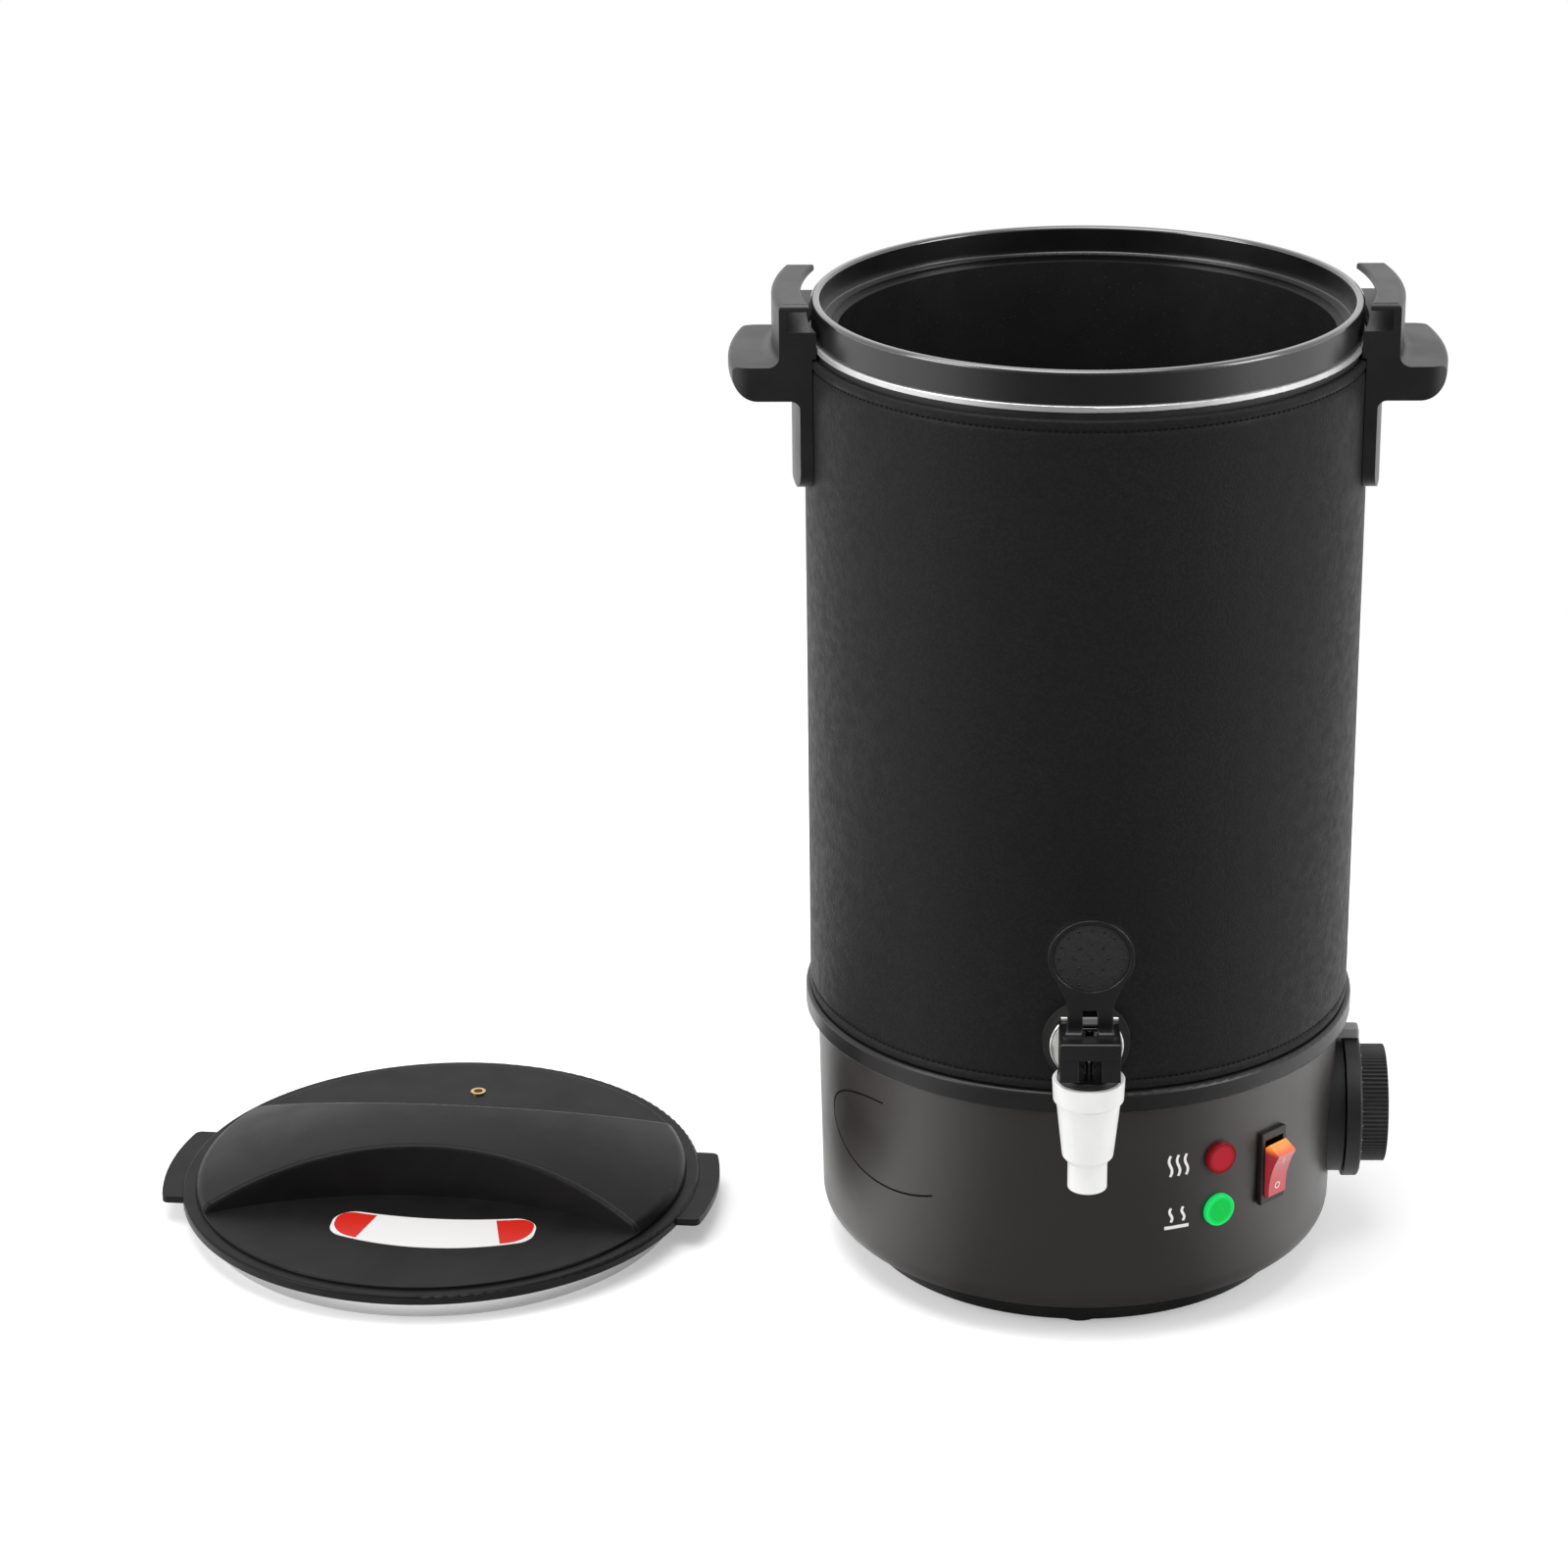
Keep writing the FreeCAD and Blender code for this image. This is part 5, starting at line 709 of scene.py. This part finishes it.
def makeThumbPad():
    lean = math.radians(thumbPad["lean"])
    normal = Vector((0, -math.cos(lean), -math.sin(lean)))
    upward = Vector((0, -math.sin(lean), math.cos(lean)))
    sideways = Vector((1, 0, 0))
    floor = Vector((0, thumbPad["faceY"], thumbPad["middleZ"])) - normal * thumbPad["sink"]
    discR = thumbPad["discR"]
    thick = thumbPad["thick"]
    grip = Shapes()
    grip.loft([circle(floor + normal * rise, sideways, upward, radius, thumbPad["sides"])
               for radius, rise in ((discR, -thick), (discR, thick * thumbPad["shoulder"]),
                                    (discR - thick, thick), (discR * thumbPad["innerShare"], thick))])
    addPiece("thumbPadGrip", grip, "tap_lever", "gripTexture")
    dots = Shapes()
    for count, radius in thumbPad["rows"]:
        for middle in circle(floor + normal * thick, sideways, upward, radius, count):
            dots.addDome(middle, normal, thumbPad["dotR"], thumbPad["dotHeight"])
    addPiece("thumbPadDots", dots, "tap_lever", "gripDotShade")


makeThumbPad()
print("melter: thumb pad made")


# Dial: plain numbers and ticks on the skirt, counting up as it turns clockwise

dial = dict(axisZ=0.057, faceX=0.1167, numberR=0.0272, numberHeight=0.0034, fontShare=1.35, curveSteps=3,
            raised=0.00006, numbers=("0", "30", "50", "70", "90", "110"), step=60.0, ticksBetween=5,
            tickR=(0.0283, 0.0296), tickWidth=0.0005)


def dialPlace(turn, radius, sideways=0.0, out=0.0):
    angle = math.radians(turn)
    middle = Vector((dial["faceX"] + out, 0.0, dial["axisZ"]))
    return (middle + Vector((0, -math.sin(angle), math.cos(angle))) * radius
            + Vector((0, math.cos(angle), math.sin(angle))) * sideways)


def makeDialNumbers():
    shape = Shapes()
    for index, number in enumerate(dial["numbers"]):
        curve = bpy.data.curves.new("dialNumber", "FONT")
        curve.body = number
        curve.size = dial["numberHeight"] * dial["fontShare"]
        curve.align_x = "CENTER"
        curve.align_y = "CENTER"
        curve.extrude = dial["raised"]
        curve.resolution_u = dial["curveSteps"]
        holder = addObject("dialNumber", curve)
        bpy.context.view_layer.update()
        glyphs = finalMesh(holder)
        turn = dial["step"] * index
        shape.add([dialPlace(turn, dial["numberR"] + vert.co.y, vert.co.x, vert.co.z)
                   for vert in glyphs.vertices], [list(face.vertices) for face in glyphs.polygons])
        bpy.data.objects.remove(holder)
        bpy.data.meshes.remove(glyphs)
    low, high = dial["tickR"]
    half = dial["tickWidth"] / 2
    for index in range(dial["ticksBetween"] * (len(dial["numbers"]) - 1) + 1):
        if index % dial["ticksBetween"] == 0:
            continue
        turn = dial["step"] / dial["ticksBetween"] * index
        shape.loft([[dialPlace(turn, radius, side, out)
                     for radius, side in ((low, -half), (low, half), (high, half), (high, -half))]
                    for out in (-dial["raised"], dial["raised"])])
    addPiece("dialNumbers", shape, "dial", "printWhite", smooth=False)


makeDialNumbers()
print("melter: dial numbers made")


# Plain signs painted on the housing beside the lamps: rising heat, and a warm plate

housing = dict(lowR=0.1052, lowZ=0.0125, highR=0.1070, highZ=0.1055)
signs = dict(azimuth=20.6, thick=0.00010, line=0.0011, waveSteps=16,
             heat=dict(middle=0.0774, waves=(-0.0034, 0.0, 0.0034), low=-0.0046, high=0.0046, sway=0.0007),
             warm=dict(middle=0.0542, waves=(-0.0026, 0.0026), low=-0.0018, high=0.0044, sway=0.0006),
             plateHalf=0.0052, plateDrop=0.0042, plateShare=1.3, plateSteps=8)


def housingR(height):
    share = (height - housing["lowZ"]) / (housing["highZ"] - housing["lowZ"])
    return housing["lowR"] + (housing["highR"] - housing["lowR"]) * share


def paintStroke(shape, points, width, azimuth, sink=0.0):
    # A painted line through (sideways, height) points, laid on the housing.
    rings = []
    for index, point in enumerate(points):
        before = points[max(0, index - 1)]
        after = points[min(len(points) - 1, index + 1)]
        along = Vector((after[0] - before[0], after[1] - before[1])).normalized()
        across = Vector((-along.y, along.x)) * width / 2
        ring = []
        for side, out in ((-1, -1), (1, -1), (1, 1), (-1, 1)):
            x = point[0] + across.x * side
            z = point[1] + across.y * side
            radius = housingR(z) - sink + out * signs["thick"] / 2
            ring.append(roundPot(radius, azimuth + math.degrees(x / housingR(z)), z))
        rings.append(ring)
    shape.loft(rings)


def makeSigns():
    shape = Shapes()
    steps = signs["waveSteps"]
    for sign in (signs["heat"], signs["warm"]):
        for x in sign["waves"]:
            wave = [(x + sign["sway"] * math.sin(2 * math.pi * step / steps),
                     sign["middle"] + sign["low"] + (sign["high"] - sign["low"]) * step / steps)
                    for step in range(steps + 1)]
            paintStroke(shape, wave, signs["line"], signs["azimuth"])
    half = signs["plateHalf"]
    plate = [(2 * half * step / signs["plateSteps"] - half, signs["warm"]["middle"] - signs["plateDrop"])
             for step in range(signs["plateSteps"] + 1)]
    paintStroke(shape, plate, signs["line"] * signs["plateShare"], signs["azimuth"])
    addPiece("lampSigns", shape, "pot", "printWhite", smooth=False)


makeSigns()
print("melter: lamp signs made")


# The thin oval groove in the housing: a dark strip on its floor is painted shade.

ovalLine = dict(azimuth=-48.0, middle=0.0715, halfWidth=0.0395, halfHeight=0.0185, start=91.0, end=309.0,
                width=0.00080, sink=0.00028, steps=84)


def makeOvalLine():
    points = []
    for step in range(ovalLine["steps"] + 1):
        share = step / ovalLine["steps"]
        turn = math.radians(ovalLine["start"] + (ovalLine["end"] - ovalLine["start"]) * share)
        height = ovalLine["middle"] + ovalLine["halfHeight"] * math.sin(turn)
        radius = housingR(height)
        points.append((radius * math.asin(ovalLine["halfWidth"] * math.cos(turn) / radius), height))
    shape = Shapes()
    paintStroke(shape, points, ovalLine["width"], ovalLine["azimuth"], ovalLine["sink"])
    addPiece("ovalLineShade", shape, "pot", "grooveShade", smooth=False)


makeOvalLine()
print("melter: oval line shaded")


# Rocker: the plain off ring and on bar

marks = dict(pivotOut=0.105042, pivotZ=0.066, tilt=14.0, azimuth=45.0, proud=0.0084, ringAt=-0.0062,
             barAt=0.0062, ringR=0.00125, around=32, line=0.00022, thick=0.00005, dipR=0.03543, dip=0.0015)


def rockerPlace(x, along, out):
    # From the level rocker's concave face to its tilted place on the housing.
    surface = marks["proud"] - marks["dip"] + marks["dipR"] - math.sqrt(marks["dipR"] ** 2 - along ** 2)
    tilt = math.radians(marks["tilt"])
    outFrom = surface + out
    forward = outFrom * math.cos(tilt) + along * math.sin(tilt)
    height = -outFrom * math.sin(tilt) + along * math.cos(tilt)
    turn = Matrix.Rotation(math.radians(marks["azimuth"]), 4, "Z")
    return turn @ Vector((x, -(marks["pivotOut"] + forward), marks["pivotZ"] + height))


def makeRockerMarks():
    shape = Shapes()
    thick = marks["thick"]
    half = marks["line"]
    inner, outer = marks["ringR"] - half, marks["ringR"] + half
    shape.loft([[rockerPlace(radius * math.sin(turn), marks["ringAt"] + radius * math.cos(turn), out)
                 for radius, out in ((inner, -thick), (outer, -thick), (outer, thick), (inner, thick))]
                for turn in fullTurn(marks["around"])], closed=True)
    reach = marks["ringR"]
    shape.loft([[rockerPlace(x, marks["barAt"] + along, out)
                 for x, along in ((-half, reach), (half, reach), (half, -reach), (-half, -reach))]
                for out in (-thick, thick)])
    addPiece("rockerMarks", shape, "rocker", "printWhite", smooth=False)


makeRockerMarks()
print("melter: rocker marks made")


# Camera, floor and soft lights

view = dict(place=(-0.05634, -1.62608, 0.84909), pitch=21.77, yaw=-2.244, roll=-0.757, lens=99.0,
            sensor=36.0, nearest=0.05)


def makeCamera():
    pitch, yaw, roll = (math.radians(view[key]) for key in ("pitch", "yaw", "roll"))
    ahead = Vector((math.sin(yaw) * math.cos(pitch), math.cos(yaw) * math.cos(pitch), -math.sin(pitch)))
    level = Vector((math.cos(yaw), -math.sin(yaw), 0.0))
    upright = level.cross(ahead)
    right = level * math.cos(roll) + upright * math.sin(roll)
    upward = right.cross(ahead)
    camera = bpy.data.cameras.new("studioCamera")
    camera.lens = view["lens"]
    camera.sensor_width = view["sensor"]
    camera.clip_start = view["nearest"]
    holder = addObject("studioCamera", camera)
    turn = Matrix((right, upward, -ahead)).transposed().to_4x4()
    holder.matrix_world = Matrix.Translation(view["place"]) @ turn
    bpy.context.scene.camera = holder


studio = dict(floorR=0.80, floorSides=96, floorMiddle=(-0.08, 0.05, -0.0002), floorColour=(0.86,) * 3,
              floorLook=dict(evenRoughness=0.9, specular=0.1), floorGlow=0.34, worldWhite=1.0, worldFill=0.50,
              white=(1.0, 1.0, 1.0, 1.0), frontDark=0.14, frontFloorDark=0.13, frontSpan=(-0.86, -0.30))


def makeStage():
    mesh = bpy.data.meshes.new("studioFloor")
    build = bmesh.new()
    bmesh.ops.create_circle(build, cap_ends=True, segments=studio["floorSides"], radius=studio["floorR"])
    build.to_mesh(mesh)
    build.free()
    floor = addObject("studioFloor", mesh)
    floor.location = studio["floorMiddle"]
    paint, tree, shader, _ = startFinish("studioFloor", studio["floorLook"])
    shader.inputs["Emission Color"].default_value = studio["white"]
    path = tree.nodes.new("ShaderNodeLightPath").outputs
    mirrored = path["Is Glossy Ray"]
    seen = calculate(tree, "MAXIMUM", path["Is Camera Ray"],
                     calculate(tree, "MAXIMUM", mirrored, path["Is Transmission Ray"]))
    # In reflections the floor in front of the pot is as dim as the room there.
    position = tree.nodes.new("ShaderNodeNewGeometry").outputs["Position"]
    frontwards = splitPlace(tree, calculateVector(tree, "NORMALIZE", position))[1]
    dim = spread(tree, frontwards, 1.0 - studio["frontFloorDark"], 0.0, *studio["frontSpan"])
    share = calculate(tree, "SUBTRACT", 1.0, calculate(tree, "MULTIPLY", mirrored, dim))
    tree.links.new(mixColours(tree, share, (0.0,) * 3, studio["floorColour"]), shader.inputs["Base Color"])
    glow = calculate(tree, "MULTIPLY", calculate(tree, "MULTIPLY", seen, share), studio["floorGlow"])
    tree.links.new(glow, shader.inputs["Emission Strength"])
    mesh.materials.append(paint)


def makeWorld():
    world = bpy.data.worlds.new("studioWorld")
    bpy.context.scene.world = world
    world.use_nodes = True
    tree = world.node_tree
    background = tree.nodes["Background"]
    path = tree.nodes.new("ShaderNodeLightPath").outputs
    place = tree.nodes.new("ShaderNodeTexCoord").outputs["Generated"]

    def choose(share, first, second):
        # The first value where share is 1, the second where it is 0.
        return calculate(tree, "ADD", calculate(tree, "MULTIPLY", share, first),
                         calculate(tree, "MULTIPLY", calculate(tree, "SUBTRACT", 1.0, share), second))

    # The room in front of the pot is dim, the tent at its sides and back is white.
    frontwards = splitPlace(tree, place)[1]
    room = spread(tree, frontwards, studio["frontDark"], studio["worldWhite"], *studio["frontSpan"])
    mirrored = calculate(tree, "MAXIMUM", path["Is Glossy Ray"], path["Is Transmission Ray"])
    strength = choose(mirrored, room, studio["worldFill"])
    tree.links.new(choose(path["Is Camera Ray"], studio["worldWhite"], strength),
                   background.inputs["Strength"])
    background.inputs["Color"].default_value = studio["white"]


lights = {
    "overheadSoftbox": dict(place=(-0.25, -0.15, 1.5), aim=(-0.05, 0.0, 0.15), size=(1.3, 1.0), power=16.0),
    "leftSoftbox": dict(place=(-1.5, -0.75, 0.9), aim=(0.0, 0.0, 0.2), size=(0.9, 1.1), power=14.0),
    "rightSoftbox": dict(place=(1.35, -0.55, 0.75), aim=(0.0, 0.0, 0.2), size=(0.6, 1.1), power=10.0),
}


def makeLights():
    for name, look in lights.items():
        lamp = bpy.data.lights.new(name, "AREA")
        lamp.shape = "RECTANGLE"
        lamp.size, lamp.size_y = look["size"]
        lamp.energy = look["power"]
        holder = addObject(name, lamp)
        place = Vector(look["place"])
        holder.location = place
        holder.rotation_euler = (Vector(look["aim"]) - place).to_track_quat("-Z", "Y").to_euler()


makeCamera()
makeStage()
makeWorld()
makeLights()
bpy.context.scene.view_settings.view_transform = "Standard"
print("melter: camera, floor and lights set")
